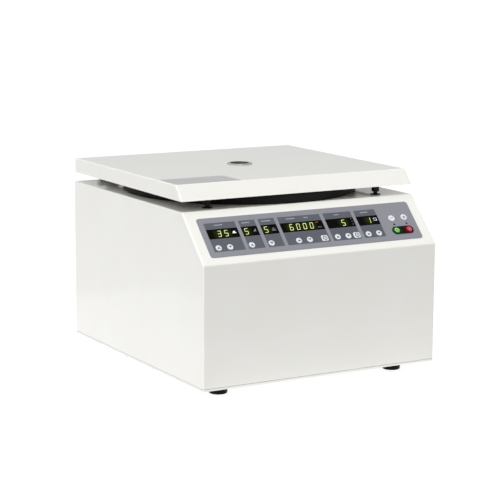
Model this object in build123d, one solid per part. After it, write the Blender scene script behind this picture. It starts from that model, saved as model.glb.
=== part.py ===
from build123d import *
import os
from math import atan2, cos, degrees, hypot, pi, radians, sin, sqrt, tan

# Benchtop microplate centrifuge. Millimetres, +Z up, +X to the operator's right, front face to -Y.
# The origin is the middle of the whole machine's footprint, on the bench.

os.makedirs("parts", exist_ok=True)

# ---- housing ----
BODY_W = 440.0  # outside width
BODY_D = 478.0  # front face to rear face
FRONT_H = 196.0  # upright front face
DECK_H = 270.5  # deck above the housing's lower edge
SLOPE_RUN = 73.0  # how far back the sloping control face reaches
SHEET = 1.5  # steel sheet of the housing, pan and rear panel
BEND_R = 5.0  # the two long bends of the front
EDGE_R = 2.5  # all other outside folds
FLANGE_W = 12.0  # inward flange that the rear panel is screwed to
PANEL_GAP = 0.2  # gap round the rear panel

# ---- base pan and feet ----
PAN_SKIRT = 4.0  # visible strip of the pan under the housing
PAN_SEAM = 0.8  # bevel that leaves a groove between pan and housing
PAN_UPSTAND = 25.0  # wall of the pan inside the housing
PAN_GAP = 0.3  # between that wall and the housing
FOOT_H = 17.5
FOOT_R = 16.0
FOOT_TAPER = 1.0  # how much smaller a foot is at the bench
FOOT_SIDE = 52.5  # foot centre from the side
FOOT_END = 47.0  # foot centre from the front or rear face
FOOT_SCREW_R = 2.5
FOOT_HEAD_R = 4.5
FOOT_HEAD_H = 3.5
FOOT_RECESS = 8.0  # depth of the pocket that hides the screw head

# ---- lid ----
LID_GAP = 16.5  # deck to the lid's lower edge
LID_H = 24.5
LID_SLANT = 21.0  # how far the lid's front face leans back
LID_SHEET = 1.2
LID_EDGE_R = 3.0
LID_BACK_INSET = 1.0  # lid's rear face in front of the housing's
LINER_RISE = 3.5  # liner above the lid's lower edge
LINER_FLANGE = 8.0
LID_PLATE_W = 116.0  # bare plate on the lid's front left corner
LID_PLATE_D = 57.0
LID_PLATE_T = 0.5
LID_PLATE_INSET = 3.5

# ---- viewing port in the lid ----
PORT_R = 22.0
PORT_PROUD = 2.0
PORT_TUBE_R = 18.0
PORT_BORE_R = 15.0
PORT_LEDGE = 1.5  # ledge that the window rests on
PORT_WINDOW_T = 3.0
PORT_TAIL = 3.0  # tube below the liner

# ---- hinges ----
HINGE_X = 145.0  # hinge centre from the middle
HINGE_W = 50.0
HINGE_OUT = 7.0  # pin behind the rear face
HINGE_UP = 8.5  # pin above the deck
KNUCKLE_R = 6.0
KNUCKLE_W = 21.0  # the lid's middle knuckle
KNUCKLE_GAP = 0.5
HINGE_PIN_R = 2.5
LEAF_T = 2.5
LEAF_H = 26.0

# ---- fits ----
RUN_FIT = 0.05  # radial clearance of a turning fit
SEAT_FIT = 0.02  # radial clearance of a fixed fit
HOLE_FIT = 0.1  # round screws
SIDE_FIT = 0.3  # around keys and other sliding pieces

# ---- chamber ----
RING_MARGIN = 2.0  # seal from the deck's front and rear edges
RING_W = 20.5  # seal's width, seen from above
SEAL_FOOT = 8.5  # part of the seal that stands on the deck
SEAL_LIP = 6.0  # flat top that meets the lid
SEAL_SHOULDER = 5.0  # the outside wall leans in over this height
BOWL_SHEET = 1.5
BOWL_CORNER_R = 14.0
BOWL_HOLE_R = 34.0
BOWL_GAP = 1.0  # bowl to the edge of the deck's hole
GUARD_GAP = 3.0  # bowl to guard ring
GUARD_T = 4.0
GUARD_TOP_GAP = 3.0

# ---- chassis, motor ----
CHASSIS_LEG = 89.0
CHASSIS_T = 4.0
CHASSIS_MARGIN = 3.5  # plate beyond the guard ring, to front and rear
CHASSIS_SIDE = 28.0  # plate from the side of the housing
CHASSIS_FOOT = 12.0
MOTOR_R = 59.0
MOTOR_H = 100.0
MOTOR_CLEAR = 7.0  # motor to the edge of its hole in the chassis
MOTOR_PLATE_W = 180.0
MOTOR_PLATE_T = 5.0
BOSS_R = 28.0  # bearing boss on top of the motor
BOSS_H = 8.0
DAMPER_R = 15.0
DAMPER_WAIST_R = 12.0
DAMPER_H = 20.0
DAMPER_OFF = 68.0  # damper from the axis, along X and along Y
DAMPER_BOLT_R = 4.0
DAMPER_HEAD_R = 7.0
DAMPER_HEAD_H = 5.0
BOWL_CLEAR = 13.0  # motor plate to bowl
BOOT_FOOT_R = 48.0
BOOT_WALL = 4.0
BOOT_GAP = 1.5  # bearing boss to boot
BOOT_LIP = 2.0  # boot above the bowl's floor

# ---- rotor and plate carriers ----
PLATE_L = 127.76  # microplate footprint, long side
PLATE_W = 85.48  # microplate footprint, short side
PLATE_CLEAR = 0.75
CARRIER_T = 2.5
CARRIER_DROP = 42.0  # trunnion to the carrier's underside
CARRIER_LIP = 12.0
EAR_R = 9.0
EAR_FOOT = 30.0  # half width of an ear at the floor
SWING_CLEAR = 10.0  # carrier's lowest corner to the bowl's floor
CARRIER_PLAY = 1.5  # ear to rail
HUB_R = 32.0
HUB_CLEAR = 15.0  # carrier to hub
HUB_BELOW = 18.0
HUB_ABOVE = 20.0
RAIL_T = 12.0
RAIL_H = 26.0
RAIL_END = 14.0  # rail beyond the trunnion
RAIL_CORNER_R = 11.5
BEAM_W = 40.0
TRUNNION_R = 4.0
SHAFT_R = 12.0
SHAFT_DEPTH = 72.0  # shaft inside the motor
STUD_R = 8.0
STUD_H = 12.0
NUT_R = 17.0
NUT_H = 18.0

# ---- control panel: x across and s up the slope from the lower bend, for the slope as drawn ----
OVERLAY_DRAWN_W = 402.0
SLOPE_DRAWN = 104.306
OVERLAY_SIDE = 19.0  # overlay from the side of the housing
OVERLAY_LOW = 14.0
OVERLAY_HIGH = 89.0
OVERLAY_R = 5.0
OVERLAY_T = 0.8
SECTION_LEFT = -191.0  # left edge of the first section
SECTION_GAP = 6.5
SECTION_WIDTHS = [56.0, 29.5, 29.5, 80.0, 53.5, 41.5]
WINDOW_LOW = 48.5
WINDOW_H = 18.2
WINDOW_BACK = 1.0  # lens flange beyond its opening
WINDOW_BACK_T = 1.5
KEY_ROW = 30.9
KEY_R = 5.2
KEY_FIRST = 9.6  # first key from its section's left edge
KEY_PITCH = 20.5
LONE_KEY = 7.2  # single key from its section's left edge
SPEED_KEY_IN = 22.2  # first speed key from its section's left edge
SQUARE_KEY_W = 12.2
SQUARE_KEY_H = 11.0
SPEED_SET_IN = 8.9  # set key's centre from its section's right edge
TIME_SET_IN = 7.0
SIDE_KEY_R = 5.8
SIDE_KEY_X = [157.1, 181.8]
SIDE_KEY_ROW = 57.7
LAMP_ROW = 45.2
LAMP_R = 1.8
RUN_KEY_R = 5.4
RUN_KEY_X = [156.2, 181.0]
RUN_KEY_ROW = 32.6
RUN_BEZEL_W = 41.6
RUN_BEZEL_H = 14.8
RUN_BEZEL_PROUD = 1.0
KEY_PROUD = 0.9
KEY_TRAVEL = 0.5
KEY_RIM = 1.0  # retaining flange beyond the cap
KEY_RIM_T = 1.2
KEY_STEM_R = 3.0
KEY_EDGE = 0.4  # chamfer round a key's face
BOARD_DEPTH = 12.0  # board's face under the slope's surface
BOARD_T = 1.6
BOARD_MARGIN = 2.5  # board inside the overlay's outline
BOARD_TOP_GAP = 1.2  # board's upper edge under the lock frame
BOARD_SCREW_IN = 4.0
SWITCH_SIZE = 6.0
SWITCH_H = 2.5
SWITCH_FREE = 0.1  # left under a fully pressed key
DIGIT_GAP = 0.2

# ---- lid lock ----
LOCK_X = 162.0
LOCK_Y = 96.0  # behind the front face
STRIKER_BOSS_R = 6.5
STRIKER_BOSS_DROP = 14.5  # boss below the liner
STRIKER_R = 3.4
STRIKER_GROOVE_R = 2.2
STRIKER_TIP = 5.4  # tip below the groove
BEZEL_R = 8.8
BEZEL_BORE_R = 5.2
BEZEL_WALL = 1.1
BEZEL_T = 1.2
LOCK_DROP = 17.5  # lock frame's top below the deck's underside
LOCK_PLATE_T = 2.0
LOCK_BAR_T = 3.0
LOCK_BAR_W = 12.0
LOCK_BAR_BACK = 64.0  # bar's front edge behind the front face
LOCK_TRAVEL = 6.5
LOCK_SLACK = 0.6
LOCK_SIDE = 10.0  # bar's tab beyond the striker's centre
LOCK_EDGE = 7.0  # bar's tab behind the striker's centre
POST_R = 2.5
POST_X = 50.0
GEAR_MODULE = 1.0
PINION_TEETH = 16
PINION_X = 112.0
RACK_TEETH = 9
TOOTH_SHARE = 0.40  # tooth's share of the pitch
TOOTH_HEIGHT = 0.85  # above the pitch line, in modules
TOOTH_ROOT = 1.15  # below the pitch line, in modules
TOOTH_SINK = 0.5  # how far a tooth is rooted in its wheel
PRESSURE_ANGLE = 20.0
LATCH_MOTOR_R = 12.0
LATCH_MOTOR_H = 34.0
LATCH_SHAFT_R = 2.0

# ---- rear services ----
FAN_SIZE = 80.0
FAN_DEPTH = 25.0
FAN_SIDE = 110.0  # fan from the right side of the housing
FAN_LIFT = 3.0  # fan above the pan's floor
FAN_BORE_R = 38.0
FAN_HUB_R = 17.0
FAN_TIP_GAP = 1.5
FAN_BLADES = 7
FAN_BLADE_T = 1.6
FAN_BLADE_PITCH = 38.0
FAN_BLADE_CHORD = 16.0
FAN_STRUT = 4.0
FAN_AXLE_R = 2.0
GRILLE_HOLE_R = 2.3
GRILLE_PITCH = 6.6
LOUVRE_W = 78.0
LOUVRE_H = 4.0
LOUVRE_PITCH = 11.0
LOUVRE_ROWS = 8
LOUVRE_SIDE = 128.0  # slots from the side of the housing
LOUVRE_LOW = 160.0  # lowest slot above the bench
INLET_SIDE = 80.0  # inlet from the left side of the housing
INLET_Z = 66.0
INLET_FLANGE_W = 30.0
INLET_FLANGE_H = 62.0
INLET_FLANGE_T = 2.0
INLET_BODY_W = 26.0
INLET_BODY_H = 56.0
INLET_BODY_D = 28.0
SOCKET_W = 22.0
SOCKET_H = 14.0
SOCKET_D = 16.0
SOCKET_DROP = 14.0  # socket's centre below the module's centre
SOCKET_CORNER = 3.5  # bevel of the socket's two upper corners
PIN_W = 2.0
PIN_H = 4.0
PIN_LENGTH = 11.0
PIN_SPACING = 7.0
PIN_STAGGER = 1.2  # middle pin above, outer pins below the socket's centre
ROCKER_W = 12.0
ROCKER_R = 10.0
ROCKER_LIFT = 14.5  # rocker's centre above the module's centre
ROCKER_SINK = 1.5  # rocker's axle behind the module's face
ROCKER_FACE = 3.0
ROCKER_TILT = 12.0
ROCKER_AXLE_R = 1.5

# ---- drive electronics on the pan ----
DRIVE_W = 130.0
DRIVE_D = 62.0
DRIVE_H = 84.0
DRIVE_SIDE = 75.0  # from the left side of the housing
DRIVE_Y = 14.0  # behind the front face
DRIVE_FINS = 9
DRIVE_FIN_H = 16.0
DRIVE_FIN_T = 3.0

# ---- case screws ----
SCREW_R = 2.0
SCREW_HEAD_R = 3.8
SCREW_HEAD_H = 2.2
SCREW_LENGTH = 8.0
SIDE_SCREWS = 3
SCREW_END = 38.0  # first and last side screw from the panel's ends
TOP_SCREW_X = 60.0
HINGE_SCREW_OFF = 16.0

# ---- places worked out from the sizes above ----
Y_FRONT = -(BODY_D + HINGE_OUT + KNUCKLE_R) / 2
Y_REAR = Y_FRONT + BODY_D
Z_PAN = FOOT_H
Z_FLOOR = Z_PAN + SHEET
Z_EDGE = Z_PAN + PAN_SKIRT
Z_BEND = Z_EDGE + FRONT_H
Z_DECK = Z_EDGE + DECK_H
Z_UNDER = Z_DECK - SHEET
X_IN = BODY_W / 2 - SHEET
SLOPE_ANGLE = atan2(Z_DECK - Z_BEND, SLOPE_RUN)
SLOPE = Plane(
    origin=(0, Y_FRONT, Z_BEND), x_dir=(1, 0, 0), z_dir=(0, -sin(SLOPE_ANGLE), cos(SLOPE_ANGLE))
)
AXIS_Y = Y_FRONT + (SLOPE_RUN + BODY_D) / 2

Z_SKIRT = Z_DECK + LID_GAP
Z_LID = Z_SKIRT + LID_H
Z_LINER = Z_SKIRT + LINER_RISE
LID_FRONT = Y_FRONT + SLOPE_RUN
LID_BACK = Y_REAR - LID_BACK_INSET
PIVOT_Y = Y_REAR + HINGE_OUT
PIVOT_Z = Z_DECK + HINGE_UP

RING_R = (BODY_D - SLOPE_RUN) / 2 - RING_MARGIN
BOWL_R = RING_R - RING_W
BOWL_OUT = BOWL_R + BOWL_SHEET
DECK_HOLE_R = BOWL_OUT + BOWL_GAP
BOWL_FLANGE_R = RING_R - SEAL_FOOT
GUARD_R = BOWL_OUT + GUARD_GAP
CHASSIS_X = BODY_W / 2 - CHASSIS_SIDE
CHASSIS_Y = GUARD_R + GUARD_T + CHASSIS_MARGIN
Z_CHASSIS = Z_FLOOR + CHASSIS_LEG + CHASSIS_T
Z_PLATE = Z_CHASSIS + DAMPER_H
Z_PLATE_TOP = Z_PLATE + MOTOR_PLATE_T
Z_BOWL = Z_PLATE_TOP + BOWL_CLEAR
Z_BOWL_FLOOR = Z_BOWL + BOWL_SHEET

POCKET_X = PLATE_W / 2 + PLATE_CLEAR
POCKET_Y = PLATE_L / 2 + PLATE_CLEAR
CARRIER_X = POCKET_X + CARRIER_T
CARRIER_Y = POCKET_Y + CARRIER_T
RAIL_IN = CARRIER_Y + CARRIER_PLAY
TRUNNION_X = HUB_R + HUB_CLEAR + CARRIER_X
Z_TRUNNION = Z_BOWL_FLOOR + SWING_CLEAR + hypot(CARRIER_X, CARRIER_DROP)

LOCK_PLACE_Y = Y_FRONT + LOCK_Y
Z_LOCK = Z_UNDER - LOCK_DROP
Z_BAR = Z_LOCK + HOLE_FIT
BAR_FRONT = Y_FRONT + LOCK_BAR_BACK
BAR_BACK = BAR_FRONT + LOCK_BAR_W
RACK_LINE = BAR_BACK + TOOTH_ROOT * GEAR_MODULE
PITCH_R = GEAR_MODULE * PINION_TEETH / 2
PINION_Y = RACK_LINE + PITCH_R + SEAT_FIT

OVERLAY_W = BODY_W - 2 * OVERLAY_SIDE
ACROSS = OVERLAY_W / OVERLAY_DRAWN_W
UP = hypot(SLOPE_RUN, Z_DECK - Z_BEND) / SLOPE_DRAWN
WINDOW_MID = UP * (WINDOW_LOW + WINDOW_H / 2)
WINDOW_TALL = UP * WINDOW_H
BEZEL_W = ACROSS * RUN_BEZEL_W
BEZEL_H = ACROSS * RUN_BEZEL_H
BEZEL_X = ACROSS * sum(RUN_KEY_X) / 2
LAMP_X = [ACROSS * x for x in SIDE_KEY_X]
BOARD_LOW = UP * OVERLAY_LOW + BOARD_MARGIN
BOARD_HIGH_Z = Z_LOCK - LOCK_PLATE_T - BOARD_TOP_GAP
BOARD_HIGH = (BOARD_HIGH_Z - Z_BEND + BOARD_DEPTH * cos(SLOPE_ANGLE)) / sin(SLOPE_ANGLE)

FAN_X = BODY_W / 2 - FAN_SIDE
FAN_Z = Z_FLOOR + FAN_LIFT + FAN_SIZE / 2
LOUVRE_X = BODY_W / 2 - LOUVRE_SIDE
INLET_X = INLET_SIDE - BODY_W / 2
PANEL_SCREW_X = X_IN - FLANGE_W / 2
PANEL_SCREW_Z = Z_UNDER - FLANGE_W / 2
LEAF_FACE = Y_REAR + LEAF_T


# ---- shared shapes ----
def block(x0, x1, y0, y1, z0, z1):
    """A rectangular solid between two corners."""
    return Pos((x0 + x1) / 2, (y0 + y1) / 2, (z0 + z1) / 2) * Box(x1 - x0, y1 - y0, z1 - z0)


def rod(radius, z0, z1, x=0.0, y=AXIS_Y):
    """An upright cylinder."""
    return Pos(x, y, (z0 + z1) / 2) * Cylinder(radius, z1 - z0)


def tube(outer, inner, z0, z1, x=0.0, y=AXIS_Y):
    """An upright tube."""
    return rod(outer, z0, z1, x, y) - rod(inner, z0 - 1, z1 + 1, x, y)


def rod_x(radius, x0, x1, y, z):
    """A cylinder along X."""
    return Pos((x0 + x1) / 2, y, z) * Rot(0, 90, 0) * Cylinder(radius, x1 - x0)


def rod_y(radius, y0, y1, x, z):
    """A cylinder along Y."""
    return Pos(x, (y0 + y1) / 2, z) * Rot(90, 0, 0) * Cylinder(radius, y1 - y0)


def turned(points, x=0.0, y=AXIS_Y):
    """A solid of revolution about a vertical line, from (radius, height) points."""
    outline = Polyline(*[(r, 0, z) for r, z in points], close=True)
    return Pos(x, y, 0) * revolve(make_face(outline), Axis.Z, 360)


def prism(points, width):
    """A solid of constant side outline, from (y, z) points, as wide as width about x = 0."""
    outline = Polyline(*[(0, y, z) for y, z in points], close=True)
    return extrude(make_face(outline), width / 2, dir=(1, 0, 0), both=True)


def on_slope(shape, x, s, z=0.0):
    """Place a shape on the control face: x across, s up the slope, z out of it."""
    return SLOPE * (Pos(x, s, z) * shape)


def slope_rod(radius, x, s, low, high):
    """A cylinder square to the control face, between two heights over its surface."""
    return on_slope(Cylinder(radius, high - low), x, s, (low + high) / 2)


def slope_block(width, height, x, s, low, high):
    """A rectangular solid square to the control face."""
    return on_slope(Box(width, height, high - low), x, s, (low + high) / 2)


def slope_slab(sketch, x, s, low, high):
    """A flat outline given thickness on the control face."""
    return on_slope(extrude(sketch, high - low), x, s, low)


def save(name, *pieces):
    """Write one sub-part: one solid, or a group of separate solids."""
    solids = [solid for piece in pieces for solid in piece.solids()]
    export_step(Compound(solids), f"parts/{name}.step")


def foot_places():
    """Centres of the four feet."""
    x = BODY_W / 2 - FOOT_SIDE
    return [(sx * x, y) for y in (Y_FRONT + FOOT_END, Y_REAR - FOOT_END) for sx in (-1, 1)]


def damper_places():
    """Centres of the four rubber dampers."""
    return [(sx * DAMPER_OFF, AXIS_Y + sy * DAMPER_OFF) for sx in (-1, 1) for sy in (-1, 1)]


def panel_screw_places():
    """Screws that hold the rear panel: (x, z)."""
    low = Z_EDGE + SCREW_END
    step = (Z_UNDER - SCREW_END - low) / (SIDE_SCREWS - 1)
    sides = [(sx * PANEL_SCREW_X, low + i * step) for sx in (-1, 1) for i in range(SIDE_SCREWS)]
    return sides + [(sx * TOP_SCREW_X, PANEL_SCREW_Z) for sx in (-1, 1)]


def hinge_screw_places():
    """Screws that hold the two hinges: (x, z)."""
    return [
        (sx * HINGE_X + off, PANEL_SCREW_Z)
        for sx in (-1, 1)
        for off in (-HINGE_SCREW_OFF, HINGE_SCREW_OFF)
    ]


def drawn_spans():
    """Left and right edge of each section of the control panel as drawn."""
    spans = []
    left = SECTION_LEFT
    for width in SECTION_WIDTHS:
        spans.append((left, left + width))
        left += width + SECTION_GAP
    return spans


SPANS = [(ACROSS * a, ACROSS * b) for a, b in drawn_spans()]
ROTOR, ACCEL, DECEL, SPEED, TIME, PROGRAM = drawn_spans()
ROUND_KEYS = {
    "key_rotor_up": ROTOR[0] + KEY_FIRST,
    "key_rotor_down": ROTOR[0] + KEY_FIRST + KEY_PITCH,
    "key_accel": ACCEL[0] + LONE_KEY,
    "key_decel": DECEL[0] + LONE_KEY,
    "key_speed_up": SPEED[0] + SPEED_KEY_IN,
    "key_speed_down": SPEED[0] + SPEED_KEY_IN + KEY_PITCH,
    "key_time_up": TIME[0] + KEY_FIRST,
    "key_time_down": TIME[0] + KEY_FIRST + KEY_PITCH,
    "key_program_up": PROGRAM[0] + KEY_FIRST,
    "key_program_down": PROGRAM[0] + KEY_FIRST + KEY_PITCH,
}
SQUARE_KEYS = {"key_speed_set": SPEED[1] - SPEED_SET_IN, "key_time_set": TIME[1] - TIME_SET_IN}
SIDE_KEYS = dict(zip(("key_enter", "key_lid"), SIDE_KEY_X))
RUN_KEYS = dict(zip(("key_start", "key_stop"), RUN_KEY_X))


def key_outline(kind, grow=0.0):
    """Outline of a key's cap, grown by a margin."""
    if kind == "square":
        width, height = ACROSS * SQUARE_KEY_W, ACROSS * SQUARE_KEY_H
        return RectangleRounded(width + 2 * grow, height + 2 * grow, EDGE_R + grow)
    return Circle(ACROSS * {"round": KEY_R, "side": SIDE_KEY_R, "run": RUN_KEY_R}[kind] + grow)


def key_list():
    """Every key: name, kind, x, s, and the height of the face it stands out of."""
    keys = [(name, "round", x, KEY_ROW, OVERLAY_T) for name, x in ROUND_KEYS.items()]
    keys += [(name, "square", x, KEY_ROW, OVERLAY_T) for name, x in SQUARE_KEYS.items()]
    keys += [(name, "side", x, SIDE_KEY_ROW, OVERLAY_T) for name, x in SIDE_KEYS.items()]
    keys += [(name, "run", x, RUN_KEY_ROW, OVERLAY_T + RUN_BEZEL_PROUD) for name, x in RUN_KEYS.items()]
    return [(name, kind, ACROSS * x, UP * s, face) for name, kind, x, s, face in keys]


KEYS = key_list()


# ---- housing, rear panel, pan, feet ----
def housing_outline(inset, low, back):
    """Side outline of the housing, drawn inset from its outside faces."""
    lower = inset * tan((pi / 2 - SLOPE_ANGLE) / 2)
    upper = inset * tan(SLOPE_ANGLE / 2)
    return [
        (Y_FRONT + inset, low),
        (Y_FRONT + inset, Z_BEND - lower),
        (Y_FRONT + SLOPE_RUN + upper, Z_DECK - inset),
        (back, Z_DECK - inset),
        (back, low),
    ]


def panel_openings(low, high):
    """Everything that is cut through the control face for keys, windows and lamps."""
    height = WINDOW_TALL + 2 * HOLE_FIT
    cuts = [
        slope_block(b - a + 2 * HOLE_FIT, height, (a + b) / 2, WINDOW_MID, low, high)
        for a, b in SPANS
    ]
    cuts += [slope_slab(key_outline(kind, SIDE_FIT), x, s, low, high) for _, kind, x, s, _ in KEYS]
    cuts += [slope_rod(LAMP_R + HOLE_FIT, x, UP * LAMP_ROW, low, high) for x in LAMP_X]
    return cuts


def housing():
    """Folded and welded steel cover: front, control slope, deck and both sides in one."""
    shell = prism(housing_outline(0, Z_EDGE, Y_REAR), BODY_W)
    bends = [
        e
        for e in shell.edges().filter_by(Axis.X)
        if e.center().Z > Z_EDGE + 1 and e.center().Y < Y_REAR - 1
    ]
    shell = fillet(bends, BEND_R)
    folds = [
        e
        for e in shell.edges()
        if abs(abs(e.center().X) - BODY_W / 2) < EDGE_R / 10
        and e.center().Z > Z_EDGE + 1
        and e.center().Y < Y_REAR - 1
    ]
    shell = fillet(folds, EDGE_R)
    below = Z_EDGE - 1
    opening = X_IN - FLANGE_W
    shell -= prism(housing_outline(SHEET, below, Y_REAR - 2 * SHEET), 2 * X_IN)
    shell -= block(-opening, opening, Y_REAR - 2 * SHEET, Y_REAR, below, Z_UNDER - FLANGE_W)
    shell -= block(-X_IN, X_IN, Y_REAR - SHEET, Y_REAR + 1, below, Z_UNDER)
    shell -= rod(DECK_HOLE_R, Z_UNDER - 1, Z_DECK + 1)
    for sx in (-1, 1):
        shell -= rod(BEZEL_BORE_R + BEZEL_WALL, Z_UNDER - 1, Z_DECK + 1, sx * LOCK_X, LOCK_PLACE_Y)
    shell -= panel_openings(-2 * SHEET, 1)
    for x, z in panel_screw_places() + hinge_screw_places():
        shell -= rod_y(SCREW_R + HOLE_FIT, Y_REAR - 3 * SHEET, Y_REAR, x, z)
    return shell


def louvre_places():
    """Centres of the slots in the rear panel: (x, z)."""
    rows = [LOUVRE_LOW + i * LOUVRE_PITCH for i in range(LOUVRE_ROWS)]
    return [(sx * LOUVRE_X, z) for sx in (-1, 1) for z in rows]


def grille_places():
    """Holes in front of the fan, on a triangular grid inside its bore: (x, z)."""
    places = []
    rise = GRILLE_PITCH * sqrt(3) / 2
    rows = int(FAN_BORE_R / rise)
    for row in range(-rows, rows + 1):
        shift = GRILLE_PITCH / 2 * (row % 2)
        for col in range(-rows - 1, rows + 2):
            x, z = col * GRILLE_PITCH + shift, row * rise
            if hypot(x, z) < FAN_BORE_R - GRILLE_HOLE_R:
                places.append((FAN_X + x, FAN_Z + z))
    return places


def rear_panel():
    """Flat steel panel set into the back of the housing."""
    half = X_IN - PANEL_GAP
    panel = block(-half, half, Y_REAR - SHEET, Y_REAR, Z_EDGE + PANEL_GAP, Z_UNDER - PANEL_GAP)
    slot = Plane.XZ * SlotOverall(LOUVRE_W, LOUVRE_H)
    cuts = [Pos(x, Y_REAR, z) * extrude(slot, 2 * SHEET, both=True) for x, z in louvre_places()]
    cuts += [rod_y(GRILLE_HOLE_R, Y_REAR - 2 * SHEET, Y_REAR + 1, x, z) for x, z in grille_places()]
    cuts += [
        rod_y(SCREW_R + HOLE_FIT, Y_REAR - 2 * SHEET, Y_REAR + 1, x, z)
        for x, z in panel_screw_places() + hinge_screw_places()
    ]
    w, h = INLET_BODY_W / 2 + HOLE_FIT, INLET_BODY_H / 2 + HOLE_FIT
    cuts.append(block(INLET_X - w, INLET_X + w, Y_REAR - 2 * SHEET, Y_REAR + 1, INLET_Z - h, INLET_Z + h))
    return panel - cuts


def base_pan():
    """Steel tray: floor, the visible strip under the housing, and a wall inside it."""
    half = BODY_W / 2
    pan = block(-half, half, Y_FRONT, Y_REAR, Z_PAN, Z_EDGE)
    pan = fillet(pan.edges().filter_by(Axis.Z), EDGE_R)
    pan = chamfer(pan.faces().sort_by(Axis.Z)[-1].edges(), PAN_SEAM)
    step = SHEET + PAN_GAP
    wall_back = Y_REAR - 3 * SHEET
    pan += block(-half + step, half - step, Y_FRONT + step, wall_back, Z_EDGE - SHEET, Z_EDGE + PAN_UPSTAND)
    inner = step + SHEET
    pan -= block(-half + inner, half - inner, Y_FRONT + inner, wall_back, Z_FLOOR, Z_EDGE + PAN_UPSTAND + 1)
    pan -= block(-half + inner, half - inner, wall_back - 1, Y_REAR - inner, Z_FLOOR, Z_EDGE + 1)
    pan -= block(-half + inner, half - inner, wall_back - 1, Y_REAR, Z_EDGE, Z_EDGE + PAN_UPSTAND + 1)
    for x, y in foot_places():
        pan -= rod(FOOT_SCREW_R + HOLE_FIT, Z_PAN - 1, Z_FLOOR + 1, x, y)
    slot = SlotOverall(LOUVRE_W, LOUVRE_H)
    for sx in (-1, 1):
        for i in range(LOUVRE_ROWS):
            y = Y_FRONT + FOOT_END + FOOT_R + (i + 1) * LOUVRE_PITCH
            pan -= Pos(sx * LOUVRE_X, y, Z_PAN - 1) * extrude(slot, 3 * SHEET)
    return pan


def foot(x, y):
    """Tapered rubber foot with a pocket for its screw's head."""
    low_r = FOOT_R - FOOT_TAPER
    body = turned(
        [
            (FOOT_SCREW_R + HOLE_FIT, FOOT_H),
            (FOOT_SCREW_R + HOLE_FIT, FOOT_RECESS),
            (FOOT_HEAD_R + SIDE_FIT, FOOT_RECESS),
            (FOOT_HEAD_R + SIDE_FIT, 0),
            (low_r - FOOT_TAPER, 0),
            (low_r, FOOT_TAPER),
            (FOOT_R, FOOT_H),
        ],
        x,
        y,
    )
    return body


def foot_screw(x, y):
    """Screw of one foot, with its nut on the pan's floor."""
    screw = rod(FOOT_HEAD_R, FOOT_RECESS - FOOT_HEAD_H, FOOT_RECESS, x, y)
    screw += rod(FOOT_SCREW_R, FOOT_RECESS - 1, Z_FLOOR + FOOT_HEAD_R + 1, x, y)
    nut = Pos(x, y, Z_FLOOR) * extrude(RegularPolygon(FOOT_HEAD_R, 6), FOOT_HEAD_R)
    nut -= rod(FOOT_SCREW_R + SEAT_FIT, Z_FLOOR - 1, Z_FLOOR + FOOT_HEAD_R + 1, x, y)
    return [screw, nut]


def case_screw(x, z, face):
    """Pan head screw into the rear, its head against the given face."""
    head = rod_y(SCREW_HEAD_R, face, face + SCREW_HEAD_H, x, z)
    rim = head.edges().filter_by(GeomType.CIRCLE).sort_by(Axis.Y)[-1]
    return fillet(rim, SCREW_HEAD_H / 2) + rod_y(SCREW_R, face - SCREW_LENGTH, face + 1, x, z)


# ---- chassis, guard, bowl, seal ----
def chassis():
    """Bridge of thick sheet that carries the motor and the guard ring."""
    top = Z_CHASSIS - CHASSIS_T
    front, back = AXIS_Y - CHASSIS_Y, AXIS_Y + CHASSIS_Y
    bridge = block(-CHASSIS_X, CHASSIS_X, front, back, top, Z_CHASSIS)
    bridge -= rod(MOTOR_R + MOTOR_CLEAR, top - 1, Z_CHASSIS + 1)
    for sx in (-1, 1):
        outer = sx * CHASSIS_X
        inner = outer - sx * CHASSIS_T
        tip = outer + sx * CHASSIS_FOOT
        bridge += block(min(outer, inner), max(outer, inner), front, back, Z_FLOOR, Z_CHASSIS)
        bridge += block(min(inner, tip), max(inner, tip), front, back, Z_FLOOR, Z_FLOOR + CHASSIS_T)
    for x, y in damper_places():
        bridge -= rod(DAMPER_BOLT_R + HOLE_FIT, top - 1, Z_CHASSIS + 1, x, y)
    return bridge


def bowl():
    """Drawn stainless chamber, hung by its flange on the deck."""
    outer = rod(BOWL_OUT, Z_BOWL, Z_DECK + BOWL_SHEET)
    outer = fillet(outer.edges().sort_by(Axis.Z)[0], BOWL_CORNER_R)
    inner = rod(BOWL_R, Z_BOWL_FLOOR, Z_DECK + 2 * BOWL_SHEET)
    inner = fillet(inner.edges().sort_by(Axis.Z)[0], BOWL_CORNER_R - BOWL_SHEET)
    flange = rod(BOWL_FLANGE_R, Z_DECK, Z_DECK + BOWL_SHEET)
    return outer + flange - inner - rod(BOWL_HOLE_R, Z_BOWL - 1, Z_BOWL_FLOOR + 1)


def seal_ring():
    """Rubber ring that stands on the deck over the bowl's flange and meets the lid."""
    groove_r = BOWL_FLANGE_R + SIDE_FIT
    groove_z = Z_DECK + BOWL_SHEET + HOLE_FIT
    lip_out = RING_R - SEAL_SHOULDER
    return turned(
        [
            (groove_r, Z_DECK),
            (RING_R, Z_DECK),
            (RING_R, Z_LINER - SEAL_SHOULDER),
            (lip_out, Z_LINER - SEAL_SHOULDER / 2),
            (lip_out, Z_LINER),
            (lip_out - SEAL_LIP, Z_LINER),
            (BOWL_R, Z_LINER - 2 * SEAL_SHOULDER),
            (BOWL_R, groove_z),
            (groove_r, groove_z),
        ]
    )


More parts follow.
